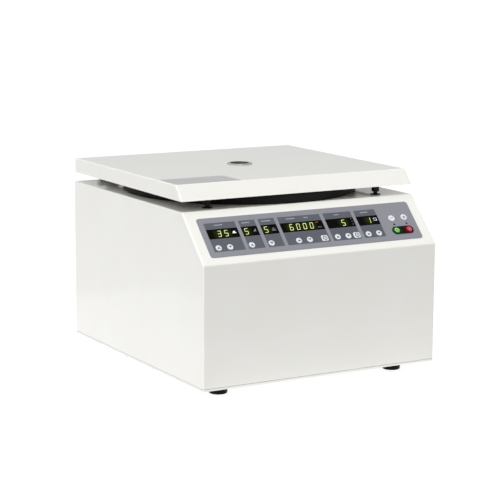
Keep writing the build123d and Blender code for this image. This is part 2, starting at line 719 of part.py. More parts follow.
# ---- motor and its mounting ----
def motor_body():
    """Upright motor, hung from the motor plate, with its bearing boss on top."""
    body = rod(MOTOR_R, Z_PLATE - MOTOR_H, Z_PLATE)
    body = chamfer(body.edges().sort_by(Axis.Z)[0], MOTOR_CLEAR / 2)
    body += rod(BOSS_R, Z_PLATE, Z_PLATE_TOP + BOSS_H)
    floor = Z_PLATE - SHAFT_DEPTH - 1
    return body - rod(SHAFT_R + RUN_FIT, floor, Z_PLATE_TOP + BOSS_H + 1)


def motor_plate():
    """Square plate that the motor hangs from."""
    half = MOTOR_PLATE_W / 2
    plate = block(-half, half, AXIS_Y - half, AXIS_Y + half, Z_PLATE, Z_PLATE_TOP)
    plate = fillet(plate.edges().filter_by(Axis.Z), DAMPER_R)
    plate -= rod(BOSS_R + HOLE_FIT, Z_PLATE - 1, Z_PLATE_TOP + 1)
    for x, y in damper_places():
        plate -= rod(DAMPER_BOLT_R + HOLE_FIT, Z_PLATE - 1, Z_PLATE_TOP + 1, x, y)
    return plate


def damper(x, y):
    """Waisted rubber mount between chassis and motor plate."""
    bore = DAMPER_BOLT_R + HOLE_FIT
    mid = (Z_CHASSIS + Z_PLATE) / 2
    side = [(DAMPER_R, Z_CHASSIS), (DAMPER_WAIST_R, mid), (DAMPER_R, Z_PLATE)]
    return turned([(bore, Z_CHASSIS), *side, (bore, Z_PLATE)], x, y)


def damper_bolt(x, y):
    """Bolt down through one damper, with its nut under the chassis."""
    under = Z_CHASSIS - CHASSIS_T
    hexagon = RegularPolygon(DAMPER_HEAD_R, 6)
    bolt = Pos(x, y, Z_PLATE_TOP) * extrude(hexagon, DAMPER_HEAD_H)
    bolt += rod(DAMPER_BOLT_R, under - DAMPER_HEAD_H - 2, Z_PLATE_TOP + 1, x, y)
    nut = Pos(x, y, under - DAMPER_HEAD_H) * extrude(hexagon, DAMPER_HEAD_H)
    nut -= rod(DAMPER_BOLT_R + SEAT_FIT, under - DAMPER_HEAD_H - 1, under + 1, x, y)
    return [bolt, nut]


def shaft_boot():
    """Rubber boot that closes the bowl's hole round the shaft."""
    bore = BOSS_R + BOOT_GAP
    neck = BOWL_HOLE_R - HOLE_FIT
    seat = neck + BOOT_WALL
    return turned(
        [
            (BOOT_FOOT_R - BOOT_WALL, Z_PLATE_TOP),
            (BOOT_FOOT_R, Z_PLATE_TOP),
            (BOOT_FOOT_R, Z_PLATE_TOP + BOOT_WALL / 2),
            (seat, Z_BOWL),
            (neck, Z_BOWL),
            (neck, Z_BOWL_FLOOR + BOOT_LIP),
            (bore, Z_BOWL_FLOOR + BOOT_LIP),
            (bore, Z_BOWL - BOOT_WALL / 2),
        ]
    )


# ---- rotor ----
HUB_LOW = Z_TRUNNION - HUB_BELOW
HUB_TOP = Z_TRUNNION + HUB_ABOVE


def motor_shaft():
    """Motor shaft, stepped down to the stud that the rotor nut is screwed to."""
    return rod(SHAFT_R, Z_PLATE - SHAFT_DEPTH, HUB_TOP) + rod(STUD_R, HUB_TOP - 1, HUB_TOP + STUD_H)


def rotor_yoke():
    """Cast aluminium H: a hub on a cross beam, and a rail along each side of the carriers."""
    low, high = Z_TRUNNION - RAIL_H / 2, Z_TRUNNION + RAIL_H / 2
    reach = TRUNNION_X + RAIL_END
    outer = RAIL_IN + RAIL_T
    yoke = block(-BEAM_W / 2, BEAM_W / 2, AXIS_Y - RAIL_IN - 1, AXIS_Y + RAIL_IN + 1, low, high)
    for sy in (-1, 1):
        near, far = AXIS_Y + sy * RAIL_IN, AXIS_Y + sy * outer
        rail = block(-reach, reach, min(near, far), max(near, far), low, high)
        ends = rail.edges().filter_by(Axis.Y)
        yoke += fillet(ends, RAIL_CORNER_R)
    yoke += rod(HUB_R, HUB_LOW, HUB_TOP)
    yoke -= rod(SHAFT_R + SEAT_FIT, HUB_LOW - 1, HUB_TOP + 1)
    for x in (-TRUNNION_X, TRUNNION_X):
        yoke -= rod_y(TRUNNION_R + SEAT_FIT, AXIS_Y - outer - 1, AXIS_Y + outer + 1, x, Z_TRUNNION)
    return yoke


def rotor_nut():
    """Domed hexagon nut that clamps the yoke to the shaft."""
    nut = Pos(0, AXIS_Y, HUB_TOP) * extrude(RegularPolygon(NUT_R, 6), NUT_H)
    dome = [(0, HUB_TOP), (NUT_R, HUB_TOP), (NUT_R, HUB_TOP + NUT_H / 2), (0, HUB_TOP + NUT_H)]
    nut = nut & turned(dome)
    return nut - rod(STUD_R + SEAT_FIT, HUB_TOP - 1, HUB_TOP + STUD_H + 1)


def trunnion(sx, sy):
    """Pin that one ear of a carrier swings on."""
    inner, outer = AXIS_Y + sy * (POCKET_Y + SIDE_FIT), AXIS_Y + sy * (RAIL_IN + RAIL_T - SIDE_FIT)
    return rod_y(TRUNNION_R, min(inner, outer), max(inner, outer), sx * TRUNNION_X, Z_TRUNNION)


def carrier(sx):
    """Swinging tray for one microplate: floor, two low lips and two ears on the trunnions."""
    centre = sx * TRUNNION_X
    low = Z_TRUNNION - CARRIER_DROP
    floor = low + CARRIER_T
    height = CARRIER_T + CARRIER_LIP
    tray = Pos(centre, AXIS_Y, low + height / 2) * Box(2 * CARRIER_X, 2 * CARRIER_Y, height)
    tray -= Pos(centre, AXIS_Y, floor + height / 2) * Box(2 * POCKET_X, 2 * POCKET_Y, height)
    for sy in (-1, 1):
        foot_z = floor - Z_TRUNNION
        outline = Polyline((-EAR_FOOT, foot_z), (EAR_FOOT, foot_z), (EAR_R, 0), (-EAR_R, 0), close=True)
        plate = make_face(outline) + Circle(EAR_R) - Circle(TRUNNION_R + RUN_FIT)
        ear = extrude(Plane.XZ * plate, CARRIER_T)
        y = AXIS_Y - POCKET_Y if sy < 0 else AXIS_Y + CARRIER_Y
        tray += Pos(centre, y, Z_TRUNNION) * ear
    return tray


# ---- lid ----
def lid_outline(inset, low):
    """Side outline of the lid, drawn inset from its outside faces."""
    lean = LID_SLANT / LID_H
    shift = inset * hypot(1, lean)
    top = Z_LID - inset
    return [
        (LID_FRONT + (low - Z_SKIRT) * lean + shift, low),
        (LID_FRONT + (top - Z_SKIRT) * lean + shift, top),
        (LID_BACK - inset, top),
        (LID_BACK - inset, low),
    ]


def lid_shell():
    """Folded steel lid, open below, with a leaning front face."""
    shell = prism(lid_outline(0, Z_SKIRT), BODY_W)
    shell = fillet([e for e in shell.edges() if e.center().Z > Z_SKIRT + 1], LID_EDGE_R)
    shell -= prism(lid_outline(LID_SHEET, Z_SKIRT - 1), BODY_W - 2 * LID_SHEET)
    return shell - rod(PORT_TUBE_R + HOLE_FIT, Z_LID - 2 * LID_SHEET, Z_LID + 1)


def lid_liner():
    """Steel pan inside the lid that presses on the seal."""
    half = BODY_W / 2 - LID_SHEET
    top = Z_LINER + LINER_FLANGE
    outline = lid_outline(LID_SHEET, Z_LINER)
    front = outline[0][0] + LID_SHEET * LID_SLANT / LID_H + PANEL_GAP
    back = outline[3][0]
    pan = block(-half, half, front, back, Z_LINER, Z_LINER + LID_SHEET)
    pan += block(-half, half, back - LID_SHEET, back, Z_LINER, top)
    flange_front = front + LINER_FLANGE * LID_SLANT / LID_H
    for sx in (-1, 1):
        outer, inner = sx * half, sx * (half - LID_SHEET)
        pan += block(min(outer, inner), max(outer, inner), flange_front, back, Z_LINER, top)
    return pan - rod(PORT_TUBE_R + HOLE_FIT, Z_LINER - 1, top)


PORT_SEAT = Z_LID + PORT_PROUD - PORT_TAIL - PORT_WINDOW_T


def port_bezel():
    """Turned steel tube through the lid, with a flange on top and a ledge for the window."""
    window_r = PORT_BORE_R + PORT_LEDGE
    return turned(
        [
            (PORT_BORE_R, Z_LINER - PORT_TAIL),
            (PORT_TUBE_R, Z_LINER - PORT_TAIL),
            (PORT_TUBE_R, Z_LID),
            (PORT_R, Z_LID),
            (PORT_R - PORT_PROUD / 2, Z_LID + PORT_PROUD),
            (window_r, Z_LID + PORT_PROUD),
            (window_r, PORT_SEAT),
            (PORT_BORE_R, PORT_SEAT),
        ]
    )


def port_window():
    """Clear disc on the ledge of the port."""
    return rod(PORT_BORE_R + PORT_LEDGE - HOLE_FIT, PORT_SEAT, PORT_SEAT + PORT_WINDOW_T)


def lid_plate():
    """Thin bare plate on the lid's front left corner."""
    left = -BODY_W / 2 + LID_PLATE_INSET
    front = LID_FRONT + LID_SLANT + LID_PLATE_INSET
    return block(left, left + LID_PLATE_W, front, front + LID_PLATE_D, Z_LID, Z_LID + LID_PLATE_T)


# ---- hinges ----
def hinge_base(x):
    """Leaf on the rear face with the two outer knuckles."""
    half = HINGE_W / 2
    inner = KNUCKLE_W / 2 + KNUCKLE_GAP
    leaf = block(x - half, x + half, Y_REAR, LEAF_FACE, Z_DECK - LEAF_H, Z_DECK)
    for sx in (-1, 1):
        a, b = sorted((x + sx * inner, x + sx * half))
        leaf += block(a, b, Y_REAR, PIVOT_Y, Z_DECK - LEAF_T, PIVOT_Z)
        leaf += rod_x(KNUCKLE_R, a, b, PIVOT_Y, PIVOT_Z)
    leaf -= rod_x(HINGE_PIN_R + SEAT_FIT, x - half - 1, x + half + 1, PIVOT_Y, PIVOT_Z)
    for off in (-HINGE_SCREW_OFF, HINGE_SCREW_OFF):
        leaf -= rod_y(SCREW_R + HOLE_FIT, Y_REAR - 1, LEAF_FACE + 1, x + off, PANEL_SCREW_Z)
    return leaf


def hinge_arm(x):
    """Leaf on the lid's rear face with the middle knuckle."""
    half = HINGE_W / 2
    mid = KNUCKLE_W / 2
    low = Z_SKIRT + LEAF_T
    arm = block(x - half, x + half, LID_BACK, LID_BACK + LEAF_T, low, Z_LID - 2 * LEAF_T)
    arm += block(x - mid, x + mid, LID_BACK, PIVOT_Y, PIVOT_Z, low + LEAF_T)
    arm += rod_x(KNUCKLE_R, x - mid, x + mid, PIVOT_Y, PIVOT_Z)
    return arm - rod_x(HINGE_PIN_R + RUN_FIT, x - mid - 1, x + mid + 1, PIVOT_Y, PIVOT_Z)


def hinge_pin(x):
    """Pin through the three knuckles."""
    return rod_x(HINGE_PIN_R, x - HINGE_W / 2 - 1, x + HINGE_W / 2 + 1, PIVOT_Y, PIVOT_Z)


# ---- lid lock ----
GROOVE_LOW = Z_BAR - LOCK_SLACK
GROOVE_HIGH = Z_BAR + LOCK_BAR_T + LOCK_SLACK


def striker(sx):
    """Stud under the lid with a groove that the lock bar catches."""
    tip = GROOVE_LOW - STRIKER_TIP
    boss_low = Z_LINER - STRIKER_BOSS_DROP
    return turned(
        [
            (0, tip),
            (STRIKER_GROOVE_R, tip),
            (STRIKER_R, tip + STRIKER_R / 2),
            (STRIKER_R, GROOVE_LOW),
            (STRIKER_GROOVE_R, GROOVE_LOW),
            (STRIKER_GROOVE_R, GROOVE_HIGH),
            (STRIKER_R, GROOVE_HIGH),
            (STRIKER_R, boss_low),
            (STRIKER_BOSS_R, boss_low),
            (STRIKER_BOSS_R, Z_LINER),
            (0, Z_LINER),
        ],
        sx * LOCK_X,
        LOCK_PLACE_Y,
    )


def latch_bezel(sx):
    """Plastic bush in the deck that the striker drops into."""
    body_r = BEZEL_BORE_R + BEZEL_WALL - HOLE_FIT
    return turned(
        [
            (BEZEL_BORE_R, Z_UNDER - 1),
            (body_r, Z_UNDER - 1),
            (body_r, Z_DECK),
            (BEZEL_R, Z_DECK),
            (BEZEL_R, Z_DECK + BEZEL_T / 2),
            (BEZEL_R - BEZEL_T / 2, Z_DECK + BEZEL_T),
            (BEZEL_BORE_R, Z_DECK + BEZEL_T),
        ],
        sx * LOCK_X,
        LOCK_PLACE_Y,
    )


def tooth_row(count, pitch):
    """Straight rack teeth along X, their tips to +Y, as (x, y) about the pitch line."""
    lean = tan(radians(PRESSURE_ANGLE)) * GEAR_MODULE
    half = TOOTH_SHARE * pitch / 2
    tip, root = TOOTH_HEIGHT * GEAR_MODULE, -TOOTH_ROOT * GEAR_MODULE
    teeth = []
    for i in range(count):
        x = (i - (count - 1) / 2) * pitch
        wide = half + TOOTH_ROOT * lean
        narrow = half - TOOTH_HEIGHT * lean
        teeth.append([(x - wide, root), (x + wide, root), (x + narrow, tip), (x - narrow, tip)])
    return teeth


def lock_bar():
    """Flat slide with a keyhole round each striker and a rack along its rear edge."""
    reach = LOCK_X + LOCK_SIDE
    back = LOCK_PLACE_Y + LOCK_EDGE
    top = Z_BAR + LOCK_BAR_T
    bar = block(-reach, reach, BAR_FRONT, BAR_BACK, Z_BAR, top)
    keyhole_r = STRIKER_R + 2 * LOCK_SLACK
    slot = STRIKER_GROOVE_R + LOCK_SLACK
    for sx in (-1, 1):
        centre = sx * LOCK_X
        tab_in, tab_out = centre - LOCK_SIDE, centre + LOCK_SIDE
        bar += block(tab_in, tab_out, BAR_FRONT, back, Z_BAR, top)
        bar -= rod(keyhole_r, Z_BAR - 1, top + 1, centre, LOCK_PLACE_Y)
        bar -= block(
            centre - LOCK_TRAVEL, centre, LOCK_PLACE_Y - slot, LOCK_PLACE_Y + slot, Z_BAR - 1, top + 1
        )
        bar -= rod(slot, Z_BAR - 1, top + 1, centre - LOCK_TRAVEL, LOCK_PLACE_Y)
    pitch = pi * GEAR_MODULE
    for tooth in tooth_row(RACK_TEETH, pitch):
        outline = make_face(Polyline(*tooth, close=True))
        bar += Pos(PINION_X + pitch / 2, RACK_LINE, Z_BAR) * extrude(outline, LOCK_BAR_T)
    return bar


def lock_frame():
    """Plate under the deck, on four posts, that the lock bar slides on."""
    low = Z_LOCK - LOCK_PLATE_T
    front, back = BAR_FRONT - POST_R, BAR_BACK + 4 * POST_R
    reach = LOCK_X + LOCK_SIDE + LOCK_TRAVEL + POST_R
    rear = LOCK_PLACE_Y + LOCK_EDGE + 4 * POST_R
    plate = block(-reach, reach, front, back, low, Z_LOCK)
    for sx in (-1, 1):
        a, b = sorted((sx * reach, sx * (LOCK_X - LOCK_SIDE)))
        plate += block(a, b, front, rear, low, Z_LOCK)
        plate -= rod(STRIKER_R + 4 * LOCK_SLACK, low - 1, Z_LOCK + 1, sx * LOCK_X, LOCK_PLACE_Y)
        plate += rod(POST_R, low, Z_UNDER, sx * LOCK_X, rear - 2 * POST_R)
        plate += rod(POST_R, low, Z_UNDER, sx * POST_X, back - POST_R)
    plate += block(
        PINION_X - LATCH_MOTOR_R, PINION_X + LATCH_MOTOR_R, front, PINION_Y + LATCH_MOTOR_R, low, Z_LOCK
    )
    return plate - rod(LATCH_SHAFT_R + HOLE_FIT, low - 1, Z_LOCK + 1, PINION_X, PINION_Y)


def latch_motor():
    """Small geared motor under the lock frame."""
    top = Z_LOCK - LOCK_PLATE_T
    body = rod(LATCH_MOTOR_R, top - LATCH_MOTOR_H, top, PINION_X, PINION_Y)
    body = chamfer(body.edges().sort_by(Axis.Z)[0], 1)
    return body - rod(LATCH_SHAFT_R + RUN_FIT, top - LATCH_MOTOR_H / 3, top + 1, PINION_X, PINION_Y)


def latch_pinion():
    """Pinion and its shaft, in mesh with the lock bar's rack."""
    pitch_angle = 2 * pi / PINION_TEETH
    lean = tan(radians(PRESSURE_ANGLE)) * GEAR_MODULE
    half = TOOTH_SHARE * pi * GEAR_MODULE / 2
    root_r = PITCH_R - TOOTH_ROOT * GEAR_MODULE
    tip_r = PITCH_R + TOOTH_HEIGHT * GEAR_MODULE
    wide, narrow = half + TOOTH_ROOT * lean / 2, half - TOOTH_HEIGHT * lean
    base = -root_r + TOOTH_SINK
    right = [(wide, base), (half, -PITCH_R), (narrow, -tip_r)]
    left = [(-x, y) for x, y in reversed(right)]
    tooth = make_face(Polyline(*right, *left, close=True))
    gear = Cylinder(root_r, LOCK_BAR_T, align=(Align.CENTER, Align.CENTER, Align.MIN))
    for i in range(PINION_TEETH):
        gear += Rot(0, 0, degrees(i * pitch_angle)) * extrude(tooth, LOCK_BAR_T)
    top = Z_LOCK - LOCK_PLATE_T
    shaft = rod(LATCH_SHAFT_R, top - LATCH_MOTOR_H / 3 + 1, Z_BAR + LOCK_BAR_T, PINION_X, PINION_Y)
    return Pos(PINION_X, PINION_Y, Z_BAR) * gear + shaft


# ---- control panel ----
def overlay():
    """Grey plastic sheet stuck on the control face."""
    sheet = slope_slab(
        RectangleRounded(OVERLAY_W, UP * (OVERLAY_HIGH - OVERLAY_LOW), OVERLAY_R),
        0,
        UP * (OVERLAY_LOW + OVERLAY_HIGH) / 2,
        0,
        OVERLAY_T,
    )
    bezel = SlotOverall(BEZEL_W + 2 * HOLE_FIT, BEZEL_H + 2 * HOLE_FIT)
    return sheet - panel_openings(-1, 2) - slope_slab(bezel, BEZEL_X, UP * RUN_KEY_ROW, -1, 2)


def window_lens(a, b):
    """Smoked lens of one display, pushed in from behind until its flange meets the sheet."""
    x, s = (a + b) / 2, WINDOW_MID
    front = slope_block(b - a, WINDOW_TALL, x, s, -SHEET - 1, OVERLAY_T)
    back = slope_block(
        b - a + 2 * WINDOW_BACK, WINDOW_TALL + 2 * WINDOW_BACK, x, s, -SHEET - WINDOW_BACK_T, -SHEET
    )
    return front + back


def run_bezel():
    """Black surround of the start and stop keys."""
    row, face = UP * RUN_KEY_ROW, OVERLAY_T + RUN_BEZEL_PROUD
    body = slope_slab(SlotOverall(BEZEL_W, BEZEL_H), BEZEL_X, row, 0, face)
    for x in RUN_KEY_X:
        body -= slope_slab(key_outline("run", SIDE_FIT), ACROSS * x, row, -1, face + 1)
    return body


def key(kind, x, s, face):
    """Key cap with a retaining rim behind the sheet and a stem above its switch."""
    rim_top = -SHEET - SEAT_FIT
    rim_mid = rim_top - KEY_RIM_T / 2
    stem_low = -BOARD_DEPTH + SWITCH_H + KEY_TRAVEL + SWITCH_FREE
    cap = slope_slab(key_outline(kind), x, s, rim_mid, face + KEY_PROUD)
    crown = cap.faces().sort_by(Axis(SLOPE.origin, SLOPE.z_dir))[-1]
    cap = chamfer(crown.edges(), KEY_EDGE)
    cap += slope_slab(key_outline(kind, KEY_RIM), x, s, rim_top - KEY_RIM_T, rim_top)
    return cap + slope_rod(KEY_STEM_R, x, s, stem_low, rim_mid)


def control_board():
    """Circuit board with its displays, key switches and lamps, on four pillars."""
    face = -BOARD_DEPTH
    width = OVERLAY_W - 2 * BOARD_MARGIN
    low, high = BOARD_LOW, BOARD_HIGH
    pieces = [slope_block(width, high - low, 0, (low + high) / 2, face - BOARD_T, face)]
    for _, _, x, s, _ in KEYS:
        pieces.append(slope_block(SWITCH_SIZE, SWITCH_SIZE, x, s, face, face + SWITCH_H))
    digits_top = -SHEET - WINDOW_BACK_T - DIGIT_GAP
    for a, b in SPANS:
        width_in = b - a - 2 * WINDOW_BACK
        pieces.append(slope_block(width_in, WINDOW_TALL, (a + b) / 2, WINDOW_MID, face, digits_top))
    for x in LAMP_X:
        pieces.append(slope_rod(LAMP_R, x, UP * LAMP_ROW, face, OVERLAY_T))
    for sx in (-1, 1):
        for s in (low + BOARD_SCREW_IN, high - BOARD_SCREW_IN):
            pieces.append(slope_rod(KEY_STEM_R, sx * (width / 2 - BOARD_SCREW_IN), s, face, -SHEET))
    return pieces


# ---- rear services ----
FAN_FRONT = Y_REAR - SHEET - FAN_DEPTH


def fan_frame():
    """Square frame of the fan with four struts and a fixed hub at its inner end."""
    half = FAN_SIZE / 2
    frame = block(FAN_X - half, FAN_X + half, FAN_FRONT, Y_REAR - SHEET, FAN_Z - half, FAN_Z + half)
    frame = fillet(frame.edges().filter_by(Axis.Y), FAN_STRUT)
    frame -= rod_y(FAN_BORE_R, FAN_FRONT - 1, Y_REAR, FAN_X, FAN_Z)
    strut_back = FAN_FRONT + FAN_STRUT
    frame += rod_y(FAN_HUB_R, FAN_FRONT, strut_back, FAN_X, FAN_Z)
    for angle in (45, 135, 225, 315):
        strut = Box(
            FAN_BORE_R - FAN_HUB_R + 2, FAN_STRUT, FAN_STRUT, align=(Align.MIN, Align.CENTER, Align.CENTER)
        )
        place = Pos(FAN_X, FAN_FRONT + FAN_STRUT / 2, FAN_Z) * Rot(0, angle, 0) * Pos(FAN_HUB_R - 1, 0, 0)
        frame += place * strut
    return frame + rod_y(FAN_AXLE_R, strut_back - 1, Y_REAR - SHEET - 2 * FAN_STRUT, FAN_X, FAN_Z)


def fan_impeller():
    """Hub and blades of the fan, turning on the frame's axle."""
    near = FAN_FRONT + FAN_STRUT + 1
    far = Y_REAR - SHEET - FAN_STRUT
    mid = (near + far) / 2
    wheel = rod_y(FAN_HUB_R, near, far, FAN_X, FAN_Z)
    length = FAN_BORE_R - FAN_TIP_GAP - FAN_HUB_R + 1
    blade = Pos(FAN_HUB_R - 1, 0, 0) * Rot(FAN_BLADE_PITCH, 0, 0) * Box(
        length, FAN_BLADE_CHORD, FAN_BLADE_T, align=(Align.MIN, Align.CENTER, Align.CENTER)
    )
    for i in range(FAN_BLADES):
        wheel += Pos(FAN_X, mid, FAN_Z) * Rot(0, 360 / FAN_BLADES * i, 0) * blade
    return wheel - rod_y(FAN_AXLE_R + RUN_FIT, near - 1, far - FAN_STRUT + 1, FAN_X, FAN_Z)


INLET_FACE = Y_REAR + INLET_FLANGE_T
ROCKER_Z = INLET_Z + ROCKER_LIFT
ROCKER_Y = INLET_FACE - ROCKER_SINK


def power_inlet():
    """Mains inlet module: a socket with three pins, and a well for the rocker above it."""
    w, h = INLET_FLANGE_W / 2, INLET_FLANGE_H / 2
    body_w, body_h = INLET_BODY_W / 2, INLET_BODY_H / 2
    back = Y_REAR - SHEET - INLET_BODY_D
    flange = block(INLET_X - w, INLET_X + w, Y_REAR, INLET_FACE, INLET_Z - h, INLET_Z + h)
    flange = fillet(flange.edges().filter_by(Axis.Y), EDGE_R)
    module = flange + block(
        INLET_X - body_w, INLET_X + body_w, back, Y_REAR + 1, INLET_Z - body_h, INLET_Z + body_h
    )
    socket_z = INLET_Z - SOCKET_DROP
    bottom = INLET_FACE - SOCKET_D
    hollow = Pos(INLET_X, INLET_FACE, socket_z) * Box(SOCKET_W, 2 * SOCKET_D, SOCKET_H)
    module -= chamfer(hollow.edges().filter_by(Axis.Y).sort_by(Axis.Z)[-2:], SOCKET_CORNER)
    for i, lift in ((-1, -PIN_STAGGER), (0, PIN_STAGGER), (1, -PIN_STAGGER)):
        pin = Box(PIN_W, 2 * PIN_LENGTH, PIN_H)
        module += Pos(INLET_X + i * PIN_SPACING, bottom, socket_z + lift) * pin
    side = ROCKER_W / 2 + SIDE_FIT
    well = ROCKER_R + SIDE_FIT
    low, high = ROCKER_Z - well, ROCKER_Z + well
    module -= block(INLET_X - side, INLET_X + side, ROCKER_Y - well, INLET_FACE + 1, low, high)
    axle = side + ROCKER_AXLE_R
    return module - rod_x(ROCKER_AXLE_R + RUN_FIT, INLET_X - axle, INLET_X + axle, ROCKER_Y, ROCKER_Z)


def power_rocker():
    """Rocker of the mains switch, resting on its lower half."""
    half = ROCKER_W / 2
    lift = (ROCKER_R + 1) * tan(radians(ROCKER_TILT))
    edge = ROCKER_R + 1
    body = rod_x(ROCKER_R, -half, half, 0, 0)
    raised = ROCKER_FACE + lift
    sides = [(-edge, -edge), (raised, -edge), (ROCKER_FACE, 0), (raised, edge), (-edge, edge)]
    face = prism(sides, ROCKER_W)
    axle_end = half + ROCKER_AXLE_R
    rocker = (body & face) + rod_x(ROCKER_AXLE_R, -axle_end, axle_end, 0, 0)
    return Pos(INLET_X, ROCKER_Y, ROCKER_Z) * Rot(ROCKER_TILT, 0, 0) * rocker


def drive_unit():
    """Motor drive in a finned aluminium case on the pan's floor."""
    y0 = Y_FRONT + DRIVE_Y
    x0 = DRIVE_SIDE - BODY_W / 2
    case = block(x0, x0 + DRIVE_W, y0, y0 + DRIVE_D, Z_FLOOR, Z_FLOOR + DRIVE_H)
    step = (DRIVE_W - DRIVE_FIN_T) / (DRIVE_FINS - 1)
    top = Z_FLOOR + DRIVE_H
    for i in range(DRIVE_FINS):
        x = x0 + i * step
        case += block(x, x + DRIVE_FIN_T, y0, y0 + DRIVE_D, top - 1, top + DRIVE_FIN_H)
    return case


# ---- write every sub-part ----
save("housing", housing())
save("rear_panel", rear_panel())
save("base_pan", base_pan())
save("feet", *[foot(x, y) for x, y in foot_places()])
save("foot_screws", *[piece for x, y in foot_places() for piece in foot_screw(x, y)])
save(
    "case_screws",
    *[case_screw(x, z, Y_REAR) for x, z in panel_screw_places()],
    *[case_screw(x, z, LEAF_FACE) for x, z in hinge_screw_places()],
)

save("chassis", chassis())
save("guard_ring", tube(GUARD_R + GUARD_T, GUARD_R, Z_CHASSIS, Z_UNDER - GUARD_TOP_GAP))
save("bowl", bowl())
save("seal_ring", seal_ring())

save("motor_body", motor_body())
save("motor_plate", motor_plate())
save("motor_dampers", *[damper(x, y) for x, y in damper_places()])
save("damper_bolts", *[piece for x, y in damper_places() for piece in damper_bolt(x, y)])
save("shaft_boot", shaft_boot())

save("motor_shaft", motor_shaft())
save("rotor_yoke", rotor_yoke())
save("rotor_nut", rotor_nut())
save("trunnion_pins", *[trunnion(sx, sy) for sx in (-1, 1) for sy in (-1, 1)])
save("carrier_left", carrier(-1))
save("carrier_right", carrier(1))

save("lid_shell", lid_shell())
save("lid_liner", lid_liner())
save("port_bezel", port_bezel())
save("port_window", port_window())
save("lid_plate", lid_plate())
save("hinge_bases", hinge_base(-HINGE_X), hinge_base(HINGE_X))
save("hinge_arms", hinge_arm(-HINGE_X), hinge_arm(HINGE_X))
save("hinge_pins", hinge_pin(-HINGE_X), hinge_pin(HINGE_X))

save("lid_strikers", striker(-1), striker(1))
save("latch_bezels", latch_bezel(-1), latch_bezel(1))
save("lock_frame", lock_frame())
save("lock_bar", lock_bar())
save("latch_motor", latch_motor())
save("latch_pinion", latch_pinion())

save("overlay", overlay())
save("window_lenses", *[window_lens(a, b) for a, b in SPANS])
save("run_bezel", run_bezel())
save("control_board", *control_board())
for name, kind, x, s, face in KEYS:
    save(name, key(kind, x, s, face))

save("fan_frame", fan_frame())
save("fan_impeller", fan_impeller())
save("power_inlet", power_inlet())
save("power_rocker", power_rocker())
save("drive_unit", drive_unit())
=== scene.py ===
from math import atan2, cos, pi, radians, sin, tan

import bpy
import numpy as np
from mathutils import Matrix, Vector


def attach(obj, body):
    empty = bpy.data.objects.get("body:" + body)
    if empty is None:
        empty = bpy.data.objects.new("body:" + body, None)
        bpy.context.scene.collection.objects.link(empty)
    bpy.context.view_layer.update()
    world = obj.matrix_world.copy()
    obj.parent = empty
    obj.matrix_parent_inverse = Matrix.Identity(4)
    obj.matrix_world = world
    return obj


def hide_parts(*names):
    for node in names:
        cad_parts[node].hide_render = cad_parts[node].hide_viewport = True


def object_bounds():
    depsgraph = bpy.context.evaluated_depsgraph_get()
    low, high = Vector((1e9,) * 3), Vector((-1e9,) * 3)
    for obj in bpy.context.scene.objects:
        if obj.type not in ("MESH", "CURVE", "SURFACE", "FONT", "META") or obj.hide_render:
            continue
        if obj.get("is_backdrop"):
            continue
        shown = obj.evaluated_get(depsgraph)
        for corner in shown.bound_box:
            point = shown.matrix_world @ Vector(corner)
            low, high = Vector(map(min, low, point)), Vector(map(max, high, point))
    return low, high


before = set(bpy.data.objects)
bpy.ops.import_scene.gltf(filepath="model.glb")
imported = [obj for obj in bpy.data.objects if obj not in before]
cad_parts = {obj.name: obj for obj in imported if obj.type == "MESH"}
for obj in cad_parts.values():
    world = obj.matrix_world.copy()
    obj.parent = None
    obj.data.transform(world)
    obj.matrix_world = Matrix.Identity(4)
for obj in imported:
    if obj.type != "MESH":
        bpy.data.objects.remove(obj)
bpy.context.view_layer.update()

# ---- Casing: housing, pan, rear panel and lid shell ----
# Folded and welded steel sheet under one white powder coat, sprayed dry and baked on.
# The coat is thick and glossy, rounds the folds, and has a faint ripple like orange peel.
COAT_WHITE = "#F2F1ED"
COAT_CREAM = "#EDECE5"
COAT_DRIFT = 0.09  # metres over which the white wanders
PEEL_WIDTH = 0.0035  # one ripple; real ones are about 1.5 mm, too fine to show
PEEL_DEPTH = 0.00003
SEAM_LOW, SEAM_HIGH = 0.0206, 0.0216  # height of the seam between pan and housing
# Grey of the painted shade in the seam between pan and housing.
SEAM_PAINTED_SHADE_GREY = "#C0C0BB"


def linear(hex_colour):
    """The linear colour of an sRGB hex value, with full alpha."""
    srgb = np.array([int(hex_colour[i : i + 2], 16) for i in (1, 3, 5)]) / 255
    value = np.where(srgb <= 0.04045, srgb / 12.92, ((srgb + 0.055) / 1.055) ** 2.4)
    return (*value.tolist(), 1.0)


def connect(tree, node, **inputs):
    """Set a node's inputs, named with _ for a space. A hex value becomes its linear colour, and
    another node's output becomes a link."""
    for key, value in inputs.items():
        socket = next(s for s in node.inputs if key in (s.identifier, s.name.replace(" ", "_")))
        if isinstance(value, bpy.types.NodeSocket):
            tree.links.new(value, socket)
        else:
            socket.default_value = linear(value) if isinstance(value, str) else value


def add(tree, kind, out=None, **given):
    """Add one node and give back one of its outputs. Keywords in small letters are the node's
    settings, and those with a capital are its inputs."""
    node = tree.nodes.new("ShaderNode" + kind)
    for key in filter(str.islower, given):
        setattr(node, key, given[key])
    connect(tree, node, **{key: value for key, value in given.items() if not key.islower()})
    return next(s for s in node.outputs if out in (None, s.identifier, s.name))


def surface(name):
    """A new material: itself, its node tree, its shader and its object coordinates."""
    material = bpy.data.materials.new(name)
    material.use_nodes = True
    tree = material.node_tree
    return material, tree, tree.nodes["Principled BSDF"], add(tree, "TexCoord", "Object")


